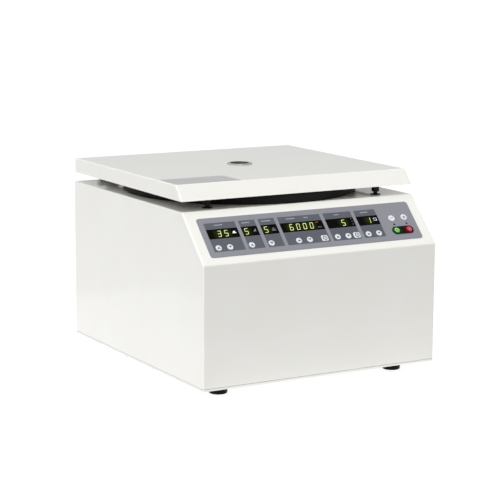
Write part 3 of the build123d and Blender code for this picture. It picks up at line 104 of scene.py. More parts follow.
def finish(tree, shader, pattern, colours, roughness, relief, **plain):
    """Let a pattern run a surface from one colour and roughness to another. The relief is a
    height and its depth in metres; plain holds the shader's own values. Gives back the colour."""
    tone = add(tree, "Mix", "Result_Color", data_type="RGBA",
               Factor_Float=pattern, A_Color=colours[0], B_Color=colours[1])
    gloss = add(tree, "MapRange", Value=pattern, To_Min=roughness[0], To_Max=roughness[1])
    bump = add(tree, "Bump", Height=relief[0], Distance=relief[1])
    connect(tree, shader, Base_Color=tone, Roughness=gloss, Normal=bump, **plain)
    return tone


def powder_coat(name):
    """The glossy coat as a material, with its tree, shader, object coordinates and colour."""
    material, tree, shader, place = surface(name)
    drift = add(tree, "TexNoise", Vector=place, Scale=1 / COAT_DRIFT, Detail=2.0)
    peel = add(tree, "TexNoise", Vector=place, Scale=1 / PEEL_WIDTH, Detail=1.0)
    tone = finish(tree, shader, drift, colours=(COAT_WHITE, COAT_CREAM), roughness=(0.28, 0.36),
                  relief=(peel, PEEL_DEPTH), IOR=1.5, Coat_Weight=1.0, Coat_Roughness=0.04)
    return material, tree, shader, place, tone


def dress(material, *names):
    """Give CAD nodes their finish."""
    for name in names:
        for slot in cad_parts[name].material_slots:
            slot.material = material


# Powder-coated steel: soft white with a clear gloss that mirrors dark neighbours faintly.
coated_steel = powder_coat("powder_coated_steel")[0]
dress(coated_steel, "housing", "rear_panel", "lid_shell")

# The pan has the same coat, with painted shade as a grey band in the seam under the housing.
coated_pan, tree, shader, place, coat = powder_coat("powder_coated_pan")
height = add(tree, "SeparateXYZ", "Z", Vector=place)
painted_seam_shade = add(tree, "Math", operation="COMPARE", Value=height,
             Value_001=(SEAM_LOW + SEAM_HIGH) / 2, Value_002=(SEAM_HIGH - SEAM_LOW) / 2)
connect(tree, shader, Base_Color=add(tree, "Mix", "Result_Color", data_type="RGBA",
                                     Factor_Float=painted_seam_shade, A_Color=coat, B_Color=SEAM_PAINTED_SHADE_GREY))
dress(coated_pan, "base_pan")

# ---- Feet, dampers, boot and seal ----
# Moulded black rubber: four feet under the pan, four dampers under the motor plate, the boot
# round the shaft, and the seal ring that stands on the deck and meets the lid.
RUBBER_BLACK = "#090909"
RUBBER_BLOOM = "#151412"
RUBBER_CLOUD = 0.03
RUBBER_GRAIN, RUBBER_DEPTH = 0.0009, 0.00005  # real grain is about 0.3 mm, too fine to show
FOOT_BLACK = "#030303"
FOOT_GRAIN, FOOT_DEPTH = 0.0015, 0.00003  # drawn coarse for the same reason

# EPDM rubber: matt black with a slight brownish bloom and fine moulded grain.
rubber, tree, shader, place = surface("epdm_rubber")
cloud = add(tree, "TexNoise", Vector=place, Scale=1 / RUBBER_CLOUD, Detail=4.0)
grain = add(tree, "TexNoise", Vector=place, Scale=1 / RUBBER_GRAIN, Detail=2.0)
finish(tree, shader, cloud, colours=(RUBBER_BLACK, RUBBER_BLOOM), roughness=(0.50, 0.66),
       relief=(grain, RUBBER_DEPTH), IOR=1.5, Specular_IOR_Level=0.18)
dress(rubber, "motor_dampers", "shaft_boot", "seal_ring")

# Hard moulded rubber of the feet: denser and glossier, with a clean mould skin.
foot_rubber, tree, shader, place = surface("moulded_foot_rubber")
skin = add(tree, "TexNoise", Vector=place, Scale=1 / FOOT_GRAIN, Detail=3.0)
finish(tree, shader, skin, colours=(FOOT_BLACK, RUBBER_BLACK), roughness=(0.26, 0.40),
       relief=(skin, FOOT_DEPTH), IOR=1.5, Specular_IOR_Level=0.10)
dress(foot_rubber, "feet")

# ---- Inner sheet: chassis, lock frame and lock bar ----
# Hot-dip galvanised steel sheet, cut, folded and left without paint. The chassis holds the
# motor plate; the lock frame hangs under the deck and guides the bar.
ZINC_LIGHT = "#C3C6C9"
ZINC_DARK = "#A3A7AB"
SPANGLE = 0.009  # width of one zinc crystal
SCUFF, SCUFF_DEPTH = 0.0015, 0.00002

# Galvanised steel: dull grey patchwork of zinc crystals, each with its own brightness.
galvanised, tree, shader, place = surface("galvanised_steel")
crystal = add(tree, "TexVoronoi", "Color", Vector=place, Scale=1 / SPANGLE)
shade = add(tree, "SeparateColor", "Red", Color=crystal)
scuff = add(tree, "TexNoise", Vector=place, Scale=1 / SCUFF, Detail=3.0)
finish(tree, shader, shade, colours=(ZINC_DARK, ZINC_LIGHT), roughness=(0.36, 0.50),
       relief=(scuff, SCUFF_DEPTH), Metallic=1.0)
dress(galvanised, "chassis", "lock_frame", "lock_bar")

# ---- Chamber: bowl and guard ring ----
# Stainless steel sheet. The bowl is drawn and then brushed while it spins, so its lines run
# round the axis; it hangs by its flange on the deck. The guard ring is a rolled hoop.
STAINLESS_LIGHT = "#CFCFCB"
STAINLESS_DARK = "#B4B4B0"
AXIS_Y = 0.030  # chamber and rotor axis
BRUSH_LINE = 0.0011  # brushed lines are finer; drawn this coarse so that they show
BRUSH_DEPTH = 0.00003
LINE_FADE = 0.08  # length over which a line loses itself


def from_axis(tree, place):
    """Distance from the vertical axis."""
    centred = add(tree, "VectorMath", operation="SUBTRACT",
                  Vector=place, Vector_001=(0, AXIS_Y, 0))
    flat = add(tree, "VectorMath", operation="MULTIPLY", Vector=centred, Vector_001=(1, 1, 0))
    return add(tree, "VectorMath", "Value", operation="LENGTH", Vector=flat)


def around_axis(tree, place, width):
    """Coordinates for lines round the vertical axis: radius and height in line widths."""
    height = add(tree, "SeparateXYZ", "Z", Vector=place)
    side = add(tree, "SeparateXYZ", "X", Vector=place)
    lines = add(tree, "CombineXYZ", X=from_axis(tree, place), Y=height, Z=side)
    return add(tree, "VectorMath", operation="MULTIPLY", Vector=lines,
               Vector_001=(1 / width, 1 / width, 1 / LINE_FADE))


# Brushed stainless steel: bright satin with fine rings, so highlights smear across the lines.
stainless, tree, shader, place = surface("brushed_stainless_steel")
line = add(tree, "TexNoise", Vector=around_axis(tree, place, BRUSH_LINE), Scale=1.0, Detail=3.0)
finish(tree, shader, line, colours=(STAINLESS_DARK, STAINLESS_LIGHT), roughness=(0.24, 0.40),
       relief=(line, BRUSH_DEPTH), Metallic=1.0)
dress(stainless, "bowl", "guard_ring")

# ---- Motor ----
# Cast and enamelled motor body, hung from a zinc-plated plate on bolts through the dampers.
# The small motor of the lid lock has the same enamel.
ENAMEL_BLACK = "#141518"
ENAMEL_WORN = "#26282C"
CASTING, CASTING_DEPTH = 0.006, 0.00015  # unevenness under the enamel
PLATED_LIGHT = "#CDD0D4"
PLATED_BLUE = "#B3B9C2"
PLATED_CLOUD = 0.012
SCRATCH, SCRATCH_DEPTH = 0.0008, 0.00001  # real scratches are finer than could show

# Black enamel: smooth dark gloss over the slight unevenness of a casting.
enamel, tree, shader, place = surface("black_enamel")
cast = add(tree, "TexNoise", Vector=place, Scale=1 / CASTING, Detail=3.0)
finish(tree, shader, cast, colours=(ENAMEL_BLACK, ENAMEL_WORN), roughness=(0.25, 0.4),
       relief=(cast, CASTING_DEPTH), IOR=1.5)
dress(enamel, "motor_body", "latch_motor")

# Zinc-plated steel: bright, slightly bluish, with cloudy passivation.
zinc_plate, tree, shader, place = surface("zinc_plated_steel")
cloud = add(tree, "TexNoise", Vector=place, Scale=1 / PLATED_CLOUD, Detail=4.0)
scratch = add(tree, "TexNoise", Vector=place, Scale=1 / SCRATCH, Detail=2.0)
finish(tree, shader, cloud, colours=(PLATED_LIGHT, PLATED_BLUE), roughness=(0.22, 0.38),
       relief=(scratch, SCRATCH_DEPTH), Metallic=1.0)
dress(zinc_plate, "motor_plate", "damper_bolts")

# ---- Rotor: shaft, yoke, nut, trunnion pins and plate carriers ----
# The yoke is a sand-cast aluminium H, machined at the hub; shaft and nut are turned steel, and
# the pins are ground. The carriers are folded stainless trays that swing out on the pins.
CAST_LIGHT = "#C9CBCD"
CAST_DARK = "#A9ABAE"
SAND_GRAIN, SAND_DEPTH = 0.0014, 0.00006  # real grains are about 0.4 mm, too fine to show
STEEL_LIGHT = "#D6D7D9"
STEEL_DARK = "#B9BBBE"
LATHE_LINE, LATHE_DEPTH = 0.0007, 0.00001  # real lines are about 0.15 mm, too fine to show
GRIND_LENGTH = 0.125  # the grinder's lines run this far along X and Y
MILL_LINE, MILL_DEPTH = 0.0010, 0.00002  # real lines are about 0.2 mm, too fine to show
TRAY_LINE = 1 / 12  # length of the lines along a tray

# Cast aluminium: pale, dull and faintly pitted by the sand of its mould.
cast_aluminium, tree, shader, place = surface("cast_aluminium")
sand = add(tree, "TexNoise", Vector=place, Scale=1 / SAND_GRAIN, Detail=4.0)
pits = add(tree, "TexVoronoi", Vector=place, Scale=1 / (2 * SAND_GRAIN))
rough = add(tree, "Math", operation="ADD", Value=sand, Value_001=pits)
finish(tree, shader, sand, colours=(CAST_DARK, CAST_LIGHT), roughness=(0.42, 0.60),
       relief=(rough, SAND_DEPTH), Metallic=1.0)
dress(cast_aluminium, "rotor_yoke")

# Turned steel: bright, with fine lathe rings round the vertical axis.
turned_steel, tree, shader, place = surface("turned_steel")
line = add(tree, "TexNoise", Vector=around_axis(tree, place, LATHE_LINE), Scale=1.0, Detail=2.0)
finish(tree, shader, line, colours=(STEEL_DARK, STEEL_LIGHT), roughness=(0.14, 0.28),
       relief=(line, LATHE_DEPTH), Metallic=1.0)
dress(turned_steel, "motor_shaft", "rotor_nut")

# Ground steel: bright pins with cross-grain from grinding.
ground_steel, tree, shader, place = surface("ground_steel")
across = add(tree, "Mapping", Vector=place,
             Scale=(1 / GRIND_LENGTH, 1 / GRIND_LENGTH, 1 / LATHE_LINE))
line = add(tree, "TexNoise", Vector=across, Scale=1.0, Detail=2.0)
finish(tree, shader, line, colours=(STEEL_DARK, STEEL_LIGHT), roughness=(0.16, 0.30),
       relief=(line, LATHE_DEPTH), Metallic=1.0)
dress(ground_steel, "trunnion_pins")

# Straight-brushed stainless: satin sheet with lines along the length of the tray.
brushed_sheet, tree, shader, place = surface("straight_brushed_stainless")
along = add(tree, "Mapping", Vector=place, Scale=(1 / MILL_LINE, 1 / TRAY_LINE, 1 / MILL_LINE))
line = add(tree, "TexNoise", Vector=along, Scale=1.0, Detail=3.0)
finish(tree, shader, line, colours=(STAINLESS_DARK, STAINLESS_LIGHT), roughness=(0.26, 0.40),
       relief=(line, MILL_DEPTH), Metallic=1.0)
dress(brushed_sheet, "carrier_left", "carrier_right")

# ---- Lid: liner, port and bare plate ----
# The liner is coated sheet that closes the lid from below. The port is a stainless tube with a
# flange, pressed through shell and liner, and its window is an acrylic disc on a ledge. The plate
# is a thin lacquered aluminium label, left bare.
SEAL_MARK_R, SEAL_MARK_W = 0.1925, 0.0030  # where the seal presses on the liner
MARK_DEEPEST = 0.6  # share of grey in the middle of the mark
MARK_CORE, MARK_PATCH = 0.3, 0.4  # share of its width that is full, and of grey where it is worn
WITNESS_GREY = "#8D8E90"
BLASTED_LIGHT = "#D6D6D0"
BLASTED_DARK = "#BFBFB8"
BEAD_DENT, BEAD_DEPTH = 0.0008, 0.00002  # real dents are about 0.15 mm, too fine to show
BLASTED_METAL = 0.75  # the blasted skin scatters like a dull white
# Inside this radius the bore is painted dark grey: painted shade of the recess over the window.
PAINTED_BORE_R = 0.0169
BORE_PAINTED_SHADE = "#5A594F"
PLATE_GREY = "#C2C2C4"
PLATE_SHADE = "#B8B8BB"
PLATE_LINE = 0.1  # length of the plate's brushed lines
PLATE_DEPTH = 0.00001
WINDOW_TINT = "#E6ECEA"
WINDOW_HAZE, WINDOW_DEPTH = 0.004, 0.000005


def apart(tree, value, middle):
    """How far a value lies from a middle, either way."""
    off = add(tree, "Math", operation="SUBTRACT", Value=value, Value_001=middle)
    return add(tree, "Math", operation="ABSOLUTE", Value=off)


# Powder-coated liner: the casing's white, with a dull grey ring where the seal presses on it.
coated_liner, tree, shader, place = surface("powder_coated_liner")
drift = add(tree, "TexNoise", Vector=place, Scale=1 / COAT_DRIFT, Detail=2.0)
peel = add(tree, "TexNoise", Vector=place, Scale=1 / PEEL_WIDTH, Detail=1.0)
white = add(tree, "Mix", "Result_Color", data_type="RGBA",
            Factor_Float=drift, A_Color=COAT_WHITE, B_Color=COAT_CREAM)
mark = add(tree, "MapRange", Value=apart(tree, from_axis(tree, place), SEAL_MARK_R),
           From_Min=MARK_CORE * SEAL_MARK_W, From_Max=SEAL_MARK_W, To_Min=MARK_DEEPEST, To_Max=0.0)
patchy = add(tree, "MapRange", Value=drift, To_Min=MARK_PATCH, To_Max=1.0)
worn = add(tree, "Math", operation="MULTIPLY", Value=mark, Value_001=patchy)
connect(tree, shader, IOR=1.5,
        Base_Color=add(tree, "Mix", "Result_Color", data_type="RGBA",
                       Factor_Float=worn, A_Color=white, B_Color=WITNESS_GREY),
        Roughness=add(tree, "MapRange", Value=mark, From_Max=MARK_DEEPEST,
                      To_Min=0.34, To_Max=0.6),
        Normal=add(tree, "Bump", Height=peel, Distance=PEEL_DEPTH))
dress(coated_liner, "lid_liner")

# Bead-blasted stainless port: pale and matt, with painted shade in its bore over the window.
blasted, tree, shader, place = surface("bead_blasted_stainless")
bead = add(tree, "TexNoise", Vector=place, Scale=1 / BEAD_DENT, Detail=3.0)
flange = add(tree, "Math", operation="GREATER_THAN",
             Value=from_axis(tree, place), Value_001=PAINTED_BORE_R)
metal = add(tree, "Math", operation="MULTIPLY", Value=flange, Value_001=BLASTED_METAL)
steel = finish(tree, shader, bead, colours=(BLASTED_LIGHT, BLASTED_DARK),
               roughness=(0.56, 0.70), relief=(bead, BEAD_DEPTH), Metallic=metal)
connect(tree, shader, Base_Color=add(tree, "Mix", "Result_Color", data_type="RGBA",
                                     Factor_Float=flange, A_Color=BORE_PAINTED_SHADE, B_Color=steel))
dress(blasted, "port_bezel")

# Lacquered aluminium label: flat satin grey with the faintest brushed line.
label_plate, tree, shader, place = surface("lacquered_aluminium")
along = add(tree, "Mapping", Vector=place, Scale=(1 / PLATE_LINE, 1 / MILL_LINE, 1 / PLATE_LINE))
line = add(tree, "TexNoise", Vector=along, Scale=1.0, Detail=2.0)
finish(tree, shader, line, colours=(PLATE_GREY, PLATE_SHADE), roughness=(0.34, 0.46),
       relief=(line, PLATE_DEPTH), Metallic=0.3)
dress(label_plate, "lid_plate")

# Polished acrylic: clear disc that shows the dark chamber and mirrors the room.
acrylic, tree, shader, place = surface("clear_acrylic")
haze = add(tree, "TexNoise", Vector=place, Scale=1 / WINDOW_HAZE, Detail=2.0)
connect(tree, shader, Base_Color=WINDOW_TINT, IOR=1.49, Transmission_Weight=1.0,
        Roughness=add(tree, "MapRange", Value=haze, To_Min=0.02, To_Max=0.08),
        Normal=add(tree, "Bump", Height=haze, Distance=WINDOW_DEPTH))
dress(acrylic, "port_window")

# ---- Lid lock: strikers, bezels and pinion ----
# Blackened steel studs under the lid drop through moulded bezels, pressed into the deck, and the
# lock bar catches them there. The pinion that drives the bar is natural acetal.
BLACKED = "#141312"
BLACKED_WORN = "#2C2925"
WEAR, WEAR_DEPTH = 0.004, 0.00002
ABS_BLACK = "#17181A"
ABS_SHINE = "#232427"
ABS_GRAIN, ABS_DEPTH = 0.0007, 0.00004  # real grain is about 0.15 mm, too fine to show
ACETAL = "#E4E0D4"
ACETAL_SHADE = "#D8D3C5"
FLOW, FLOW_DEPTH = 0.003, 0.00001  # flow marks of the moulding

# Blackened steel: dark oxide that wears to brownish metal in patches.
blackened, tree, shader, place = surface("blackened_steel")
wear = add(tree, "TexNoise", Vector=place, Scale=1 / WEAR, Detail=5.0)
finish(tree, shader, wear, colours=(BLACKED, BLACKED_WORN), roughness=(0.26, 0.44),
       relief=(wear, WEAR_DEPTH), Metallic=1.0)
dress(blackened, "lid_strikers")

# Moulded black ABS: fine spark-eroded grain that scatters the highlight.
black_abs, tree, shader, place = surface("moulded_black_abs")
spark = add(tree, "TexNoise", Vector=place, Scale=1 / ABS_GRAIN, Detail=2.0)
finish(tree, shader, spark, colours=(ABS_BLACK, ABS_SHINE), roughness=(0.36, 0.52),
       relief=(spark, ABS_DEPTH), IOR=1.53)
dress(black_abs, "latch_bezels")

# Natural acetal: waxy off-white with a soft glow under the surface.
acetal, tree, shader, place = surface("natural_acetal")
flow = add(tree, "TexNoise", Vector=place, Scale=1 / FLOW, Detail=2.0)
finish(tree, shader, flow, colours=(ACETAL, ACETAL_SHADE), roughness=(0.34, 0.44),
       relief=(flow, FLOW_DEPTH), IOR=1.48, Subsurface_Weight=0.1, Subsurface_Scale=0.001)
dress(acetal, "latch_pinion")

# ---- Control face: printed overlay, display lenses and circuit board ----
# A polycarbonate sheet, printed grey and slate from behind and stuck on the slope; six smoked
# acrylic lenses flush with it; and behind them the green circuit board with its lamps.
SLOPE_RUN, SLOPE_RISE = 0.073, 0.0745
BEND_Z = 0.2175  # lower bend of the slope
FRONT_Y = -0.2455
SLOPE = atan2(SLOPE_RISE, SLOPE_RUN)
ACROSS, UP, OUT = (1, 0, 0), (0, cos(SLOPE), sin(SLOPE)), (0, -sin(SLOPE), cos(SLOPE))
SECTION_LEFT = -0.191
SECTION_GAP = 0.0065
SECTION_WIDTHS = (0.056, 0.0295, 0.0295, 0.080, 0.0535, 0.0415)
SECTION_LOW, SECTION_HIGH = 0.0237, 0.079  # up the slope
OVERLAY_GREY = "#86878F"
OVERLAY_SLATE = "#50545D"
VELVET, VELVET_DEPTH = 0.0009, 0.00002  # real velvet is far finer, and wouldn't show
WINDOW_ROW = 0.0576  # middle of the lenses, up the slope
LENS_BLACK = "#040302"
LENS_SMOKE = "#0B0906"
LENS_HAZE, LENS_DEPTH = 0.005, 0.000004
GLOW_OLIVE = "#46580E"
GLOW_SPANS = (
    (-0.176, -0.152), (-0.1255, -0.116), (-0.0895, -0.080),
    (-0.043, 0.006), (0.057, 0.067), (0.108, 0.116),
)
GLOW_EDGE = 0.006  # width over which the glow fades at the sides
GLOW_FULL, GLOW_END = 0.003, 0.009  # and above and below the row
GLOW_LEAST, GLOW_MOST = 0.144, 0.288  # strength in the thin and thick of the haze
BOARD_GREEN = "#0F4A2A"
BOARD_TRACE = "#1A6B40"
TRACE, TRACE_DEPTH = 0.004, 0.00003  # spacing and height of the tracks
LAMP_BODY = "#060405"
LAMP_LOW, LAMP_HIGH = -0.0016, 0.01  # the lamps' tips, out of the slope


def on_face(x, s, h):
    """Points of the control face: x across, s up the slope from its lower bend, h out of it."""
    y = FRONT_Y + s * cos(SLOPE) - h * sin(SLOPE)
    z = BEND_Z + s * sin(SLOPE) + h * cos(SLOPE)
    return np.stack(np.broadcast_arrays(x, y, z), axis=-1)


def face_place(tree, place, way):
    """The same coordinates as shader values: how far across, up the slope or out of it."""
    local = add(tree, "VectorMath", operation="SUBTRACT",
                Vector=place, Vector_001=(0.0, FRONT_Y, BEND_Z))
    return add(tree, "VectorMath", "Value", operation="DOT_PRODUCT",
               Vector=local, Vector_001=way)


# Printed polycarbonate: satin grey with slate fields, and the fine sparkle of its velvet face.
overlay_print, tree, shader, place = surface("printed_polycarbonate")
across, up = face_place(tree, place, ACROSS), face_place(tree, place, UP)
left, fields = SECTION_LEFT, None
for width in SECTION_WIDTHS:
    field = add(tree, "Math", operation="COMPARE", Value=across,
                Value_001=left + width / 2, Value_002=width / 2)
    fields = field if fields is None else add(tree, "Math", operation="ADD",
                                              Value=fields, Value_001=field)
    left += width + SECTION_GAP
rows = add(tree, "Math", operation="COMPARE", Value=up,
           Value_001=(SECTION_LOW + SECTION_HIGH) / 2, Value_002=(SECTION_HIGH - SECTION_LOW) / 2)
slate = add(tree, "Math", operation="MULTIPLY", Value=fields, Value_001=rows)
velvet = add(tree, "TexNoise", Vector=place, Scale=1 / VELVET, Detail=2.0)
connect(tree, shader, IOR=1.58,
        Base_Color=add(tree, "Mix", "Result_Color", data_type="RGBA",
                       Factor_Float=slate, A_Color=OVERLAY_GREY, B_Color=OVERLAY_SLATE),
        Roughness=add(tree, "MapRange", Value=velvet, To_Min=0.34, To_Max=0.46),
        Normal=add(tree, "Bump", Height=velvet, Distance=VELVET_DEPTH))
dress(overlay_print, "overlay")

# Smoked acrylic: near black and glossy, lit olive round the digits by the display behind it.
smoked, tree, shader, place = surface("smoked_acrylic")
across, up = face_place(tree, place, ACROSS), face_place(tree, place, UP)
glow = None
for low, high in GLOW_SPANS:
    half = (high - low) / 2
    spot = add(tree, "MapRange", Value=apart(tree, across, (low + high) / 2),
               From_Min=half, From_Max=half + GLOW_EDGE, To_Min=1.0, To_Max=0.0)
    glow = spot if glow is None else add(tree, "Math", operation="MAXIMUM",
                                         Value=glow, Value_001=spot)
row = add(tree, "MapRange", Value=apart(tree, up, WINDOW_ROW),
          From_Min=GLOW_FULL, From_Max=GLOW_END, To_Min=1.0, To_Max=0.0)
lit = add(tree, "Math", operation="MULTIPLY", Value=glow, Value_001=row)
haze = add(tree, "TexNoise", Vector=place, Scale=1 / LENS_HAZE, Detail=2.0)
cloudy = add(tree, "MapRange", Value=haze, To_Min=GLOW_LEAST, To_Max=GLOW_MOST)
connect(tree, shader, Roughness=0.08, IOR=1.49, Specular_IOR_Level=0.1,
        Base_Color=add(tree, "Mix", "Result_Color", data_type="RGBA",
                       Factor_Float=haze, A_Color=LENS_BLACK, B_Color=LENS_SMOKE),
        Emission_Color=GLOW_OLIVE,
        Emission_Strength=add(tree, "Math", operation="MULTIPLY", Value=lit, Value_001=cloudy),
        Normal=add(tree, "Bump", Height=haze, Distance=LENS_DEPTH))
dress(smoked, "window_lenses")

# Solder mask: translucent green with lighter tracks; the tips of the two lamps are near black.
board, tree, shader, place = surface("solder_mask")
track = add(tree, "TexVoronoi", Vector=place, Scale=1 / TRACE, distance="MANHATTAN")
mask = add(tree, "Mix", "Result_Color", data_type="RGBA",
           Factor_Float=track, A_Color=BOARD_TRACE, B_Color=BOARD_GREEN)
tip = add(tree, "Math", operation="COMPARE", Value=face_place(tree, place, OUT),
          Value_001=(LAMP_LOW + LAMP_HIGH) / 2, Value_002=(LAMP_HIGH - LAMP_LOW) / 2)
connect(tree, shader, Roughness=0.25, IOR=1.55,
        Base_Color=add(tree, "Mix", "Result_Color", data_type="RGBA",
                       Factor_Float=tip, A_Color=mask, B_Color=LAMP_BODY),
        Normal=add(tree, "Bump", Height=track, Distance=TRACE_DEPTH))
dress(board, "control_board")

# ---- Display digits and signs behind the lenses ----
# Seven-segment light-emitting digits, leaning by eight degrees, and small signs beside them.
# They shine through the lenses, so they are drawn as thin shapes on the lens faces.
LENS_FACE = 0.0008  # lens and overlay over the slope's sheet
LIT_THICK = 0.00006
DIGIT_H, DIGIT_W = 0.0116, 0.0062
DIGIT_STROKE = 0.0008
DIGIT_LEAN = tan(radians(8))
DIGITS = (
    (-0.1698, 3), (-0.1573, 5), (-0.1207, 5), (-0.0846, 5), (-0.0373, 6),
    (-0.0246, 0), (-0.0119, 0), (0.0008, 0), (0.0622, 5), (0.1121, 1),
)
SEGMENTS_LIT = {0: "abcdef", 1: "bc", 3: "abgcd", 5: "afgcd", 6: "afgcde"}
DIGIT_LIGHT, DIGIT_STRENGTH = "#DCE8A0", 0.5
SIGN_WHITE, WHITE_STRENGTH = "#E4E6EE", 0.45
SIGN_DIM, DIM_STRENGTH = "#6B6670", 0.45
SIGN_RED, RED_STRENGTH = "#B0404A", 0.4
DIFFUSER = 0.001  # grain of the light-scattering resin
DIFFUSER_SWING = 0.15  # by how much its light varies
# The signs, as places across and up the slope, and sizes: half disc and bar, frame, ramp, stack.
DOME_X, DOME_S, DOME_R = -0.1431, 0.0583, 0.0024
DOME_BAR = (-0.1431, 0.0571, 0.0068, 0.0014)
FRAME_BARS = (
    (0.1250, 0.0612, 0.0058, 0.0006), (0.1250, 0.0564, 0.0058, 0.0006),
    (0.1224, 0.0588, 0.0006, 0.0042), (0.1276, 0.0588, 0.0006, 0.0042),
)
RAMP = ((-0.1088, 0.0562), (-0.1032, 0.0562), (-0.1032, 0.0618))
STACK_X, STACK_S, STACK_STEP = -0.0706, 0.0550, 0.0022
STACK_WIDTHS, STACK_H = (0.0070, 0.0070, 0.0036), 0.0011
UNIT_DOTS = (
    (0.0122, 0.0535), (0.0148, 0.0535), (0.0173, 0.0535),
    (0.0795, 0.0643), (0.0795, 0.0590), (0.0795, 0.0535),
)
UNIT_DOT_R = 0.0008
RED_DOTS = ((0.0112, 0.0633), (0.0140, 0.0633))
RED_DOT_R = 0.0009
DOME_POINTS, DOT_POINTS = 13, 10


def prisms(outlines, low, high, place):
    """Closed prisms from outlines of (u, v) rows: each outline at the low height, again at the
    high height, and quads between; place turns u, v and height into points."""
    points, faces, start = [], [], 0
    for outline in outlines:
        flat = np.asarray(outline, float)
        turn = np.roll(flat, -1, axis=0)
        if np.sum(flat[:, 0] * turn[:, 1] - turn[:, 0] * flat[:, 1]) < 0:
            flat = flat[::-1]
        count = len(flat)
        around = np.arange(count)
        after = (around + 1) % count
        points += [place(flat[:, 0], flat[:, 1], low), place(flat[:, 0], flat[:, 1], high)]
        faces.append((start + around[::-1]).tolist())
        faces.append((start + count + around).tolist())
        band = np.stack([around, after, after + count, around + count], axis=1) + start
        faces += band.tolist()
        start += 2 * count
    return np.concatenate(points), faces


def piece(name, points, faces, material, body):
    """A new object from points and faces, with its finish, riding on a body."""
    mesh = bpy.data.meshes.new(name)
    mesh.from_pydata(points.tolist(), [], faces)
    mesh.materials.append(material)
    mesh.update()
    made = bpy.data.objects.new(name, mesh)
    bpy.context.scene.collection.objects.link(made)
    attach(made, body)
    return made


def stroke(x0, y0, x1, y1, width):
    """A straight stroke with pointed ends: a hexagon about the line between two points."""
    run = np.array([x1 - x0, y1 - y0])
    run = run / np.hypot(*run) * width / 2
    side = np.array([-run[1], run[0]])
    a, b = np.array([x0, y0]), np.array([x1, y1])
    return np.array([a, a + run - side, b - run - side, b, b - run + side, a + run + side])


def digit(value, x):
    """The lit segments of one figure, centred on x in the lens row and leaning to the right."""
    w, h = (DIGIT_W - DIGIT_STROKE) / 2, (DIGIT_H - DIGIT_STROKE) / 2
    ends = {
        "a": (-w, h, w, h), "b": (w, h, w, 0), "c": (w, 0, w, -h), "d": (w, -h, -w, -h),
        "e": (-w, -h, -w, 0), "f": (-w, 0, -w, h), "g": (-w, 0, w, 0),
    }
    shapes = [stroke(*ends[letter], DIGIT_STROKE) for letter in SEGMENTS_LIT[value]]
    return [np.stack([x + p[:, 0] + p[:, 1] * DIGIT_LEAN, WINDOW_ROW + p[:, 1]], 1) for p in shapes]


def box_outline(x, s, width, height):
    """A rectangle about a point."""
    w, h = width / 2, height / 2
    return [(x - w, s - h), (x + w, s - h), (x + w, s + h), (x - w, s + h)]


def disc_outline(x, s, radius, count, start=0.0, sweep=2 * pi):
    """Points on a circle, or on part of one: centre plus radius times (cos, sin)."""
    angle = start + sweep * np.arange(count) / (count if sweep == 2 * pi else count - 1)
    return np.stack([x + radius * np.cos(angle), s + radius * np.sin(angle)], axis=1)


def lit_material(name, colour, strength):
    """Light-emitting resin: its own colour, glowing, with a slight grain of the diffuser."""
    material, tree, shader, place = surface(name)
    grain = add(tree, "TexNoise", Vector=place, Scale=1 / DIFFUSER, Detail=1.0)
    connect(tree, shader, Base_Color=colour, Emission_Color=colour,
            Roughness=add(tree, "MapRange", Value=grain, To_Min=0.3, To_Max=0.5),
            Emission_Strength=add(tree, "MapRange", Value=grain,
                                  To_Min=(1 - DIFFUSER_SWING) * strength,
                                  To_Max=(1 + DIFFUSER_SWING) * strength))
    return material


def thin_film(name, outlines, material):
    """Thin shapes on the flush face of lenses and overlay, fixed to the cabinet."""
    points, faces = prisms(outlines, LENS_FACE, LENS_FACE + LIT_THICK, on_face)
    piece(name, points, faces, material, "cabinet")


# Lit digits: yellow-green, the brightest thing on the machine.
digit_light = lit_material("digit_yellow_green", DIGIT_LIGHT, DIGIT_STRENGTH)
thin_film("display_digits", [p for x, v in DIGITS for p in digit(v, x)], digit_light)

# White signs: a dome over a bar beside the first display, a small frame beside the last.
sign_white = lit_material("sign_white", SIGN_WHITE, WHITE_STRENGTH)
dome = disc_outline(DOME_X, DOME_S, DOME_R, DOME_POINTS, 0.0, pi)
thin_film("display_sign_rotor", [dome, box_outline(*DOME_BAR)], sign_white)
thin_film("display_sign_program", [box_outline(*bar) for bar in FRAME_BARS], sign_white)

# Dim signs: a rising ramp, a stack of bars and unit dots.
sign_dim = lit_material("sign_dim", SIGN_DIM, DIM_STRENGTH)
stack = [box_outline(STACK_X, STACK_S + STACK_STEP * i, width, STACK_H)
         for i, width in enumerate(STACK_WIDTHS)]
unit_dots = [disc_outline(*dot, UNIT_DOT_R, DOT_POINTS) for dot in UNIT_DOTS]
thin_film("display_signs_dim", [RAMP, *stack, *unit_dots], sign_dim)

# Red sign dots of the speed display.
sign_red = lit_material("sign_red", SIGN_RED, RED_STRENGTH)
red_dots = [disc_outline(*dot, RED_DOT_R, DOT_POINTS) for dot in RED_DOTS]
thin_film("display_signs_red", red_dots, sign_red)

# ---- Printed marks of the overlay ----
# Screen-printed ink, one thin film on the sheet. A pale bar stands over each display, where a
# panel has its captions.
INK_PALE = "#A6ABB8"
INK_FILM, INK_DEPTH = 0.0012, 0.00001  # the screen's real mesh is too fine to show
INK_SWING = 0.12  # by how much its roughness varies
MARK_ROW = 0.0743
MARK_H = 0.0014
MARK_SPANS = (
    (-0.1740, -0.1586), (-0.1240, -0.1090), (-0.0880, -0.0705), (-0.0414, -0.0250),
    (-0.0080, 0.0002), (0.0500, 0.0596), (0.1015, 0.1167),
)


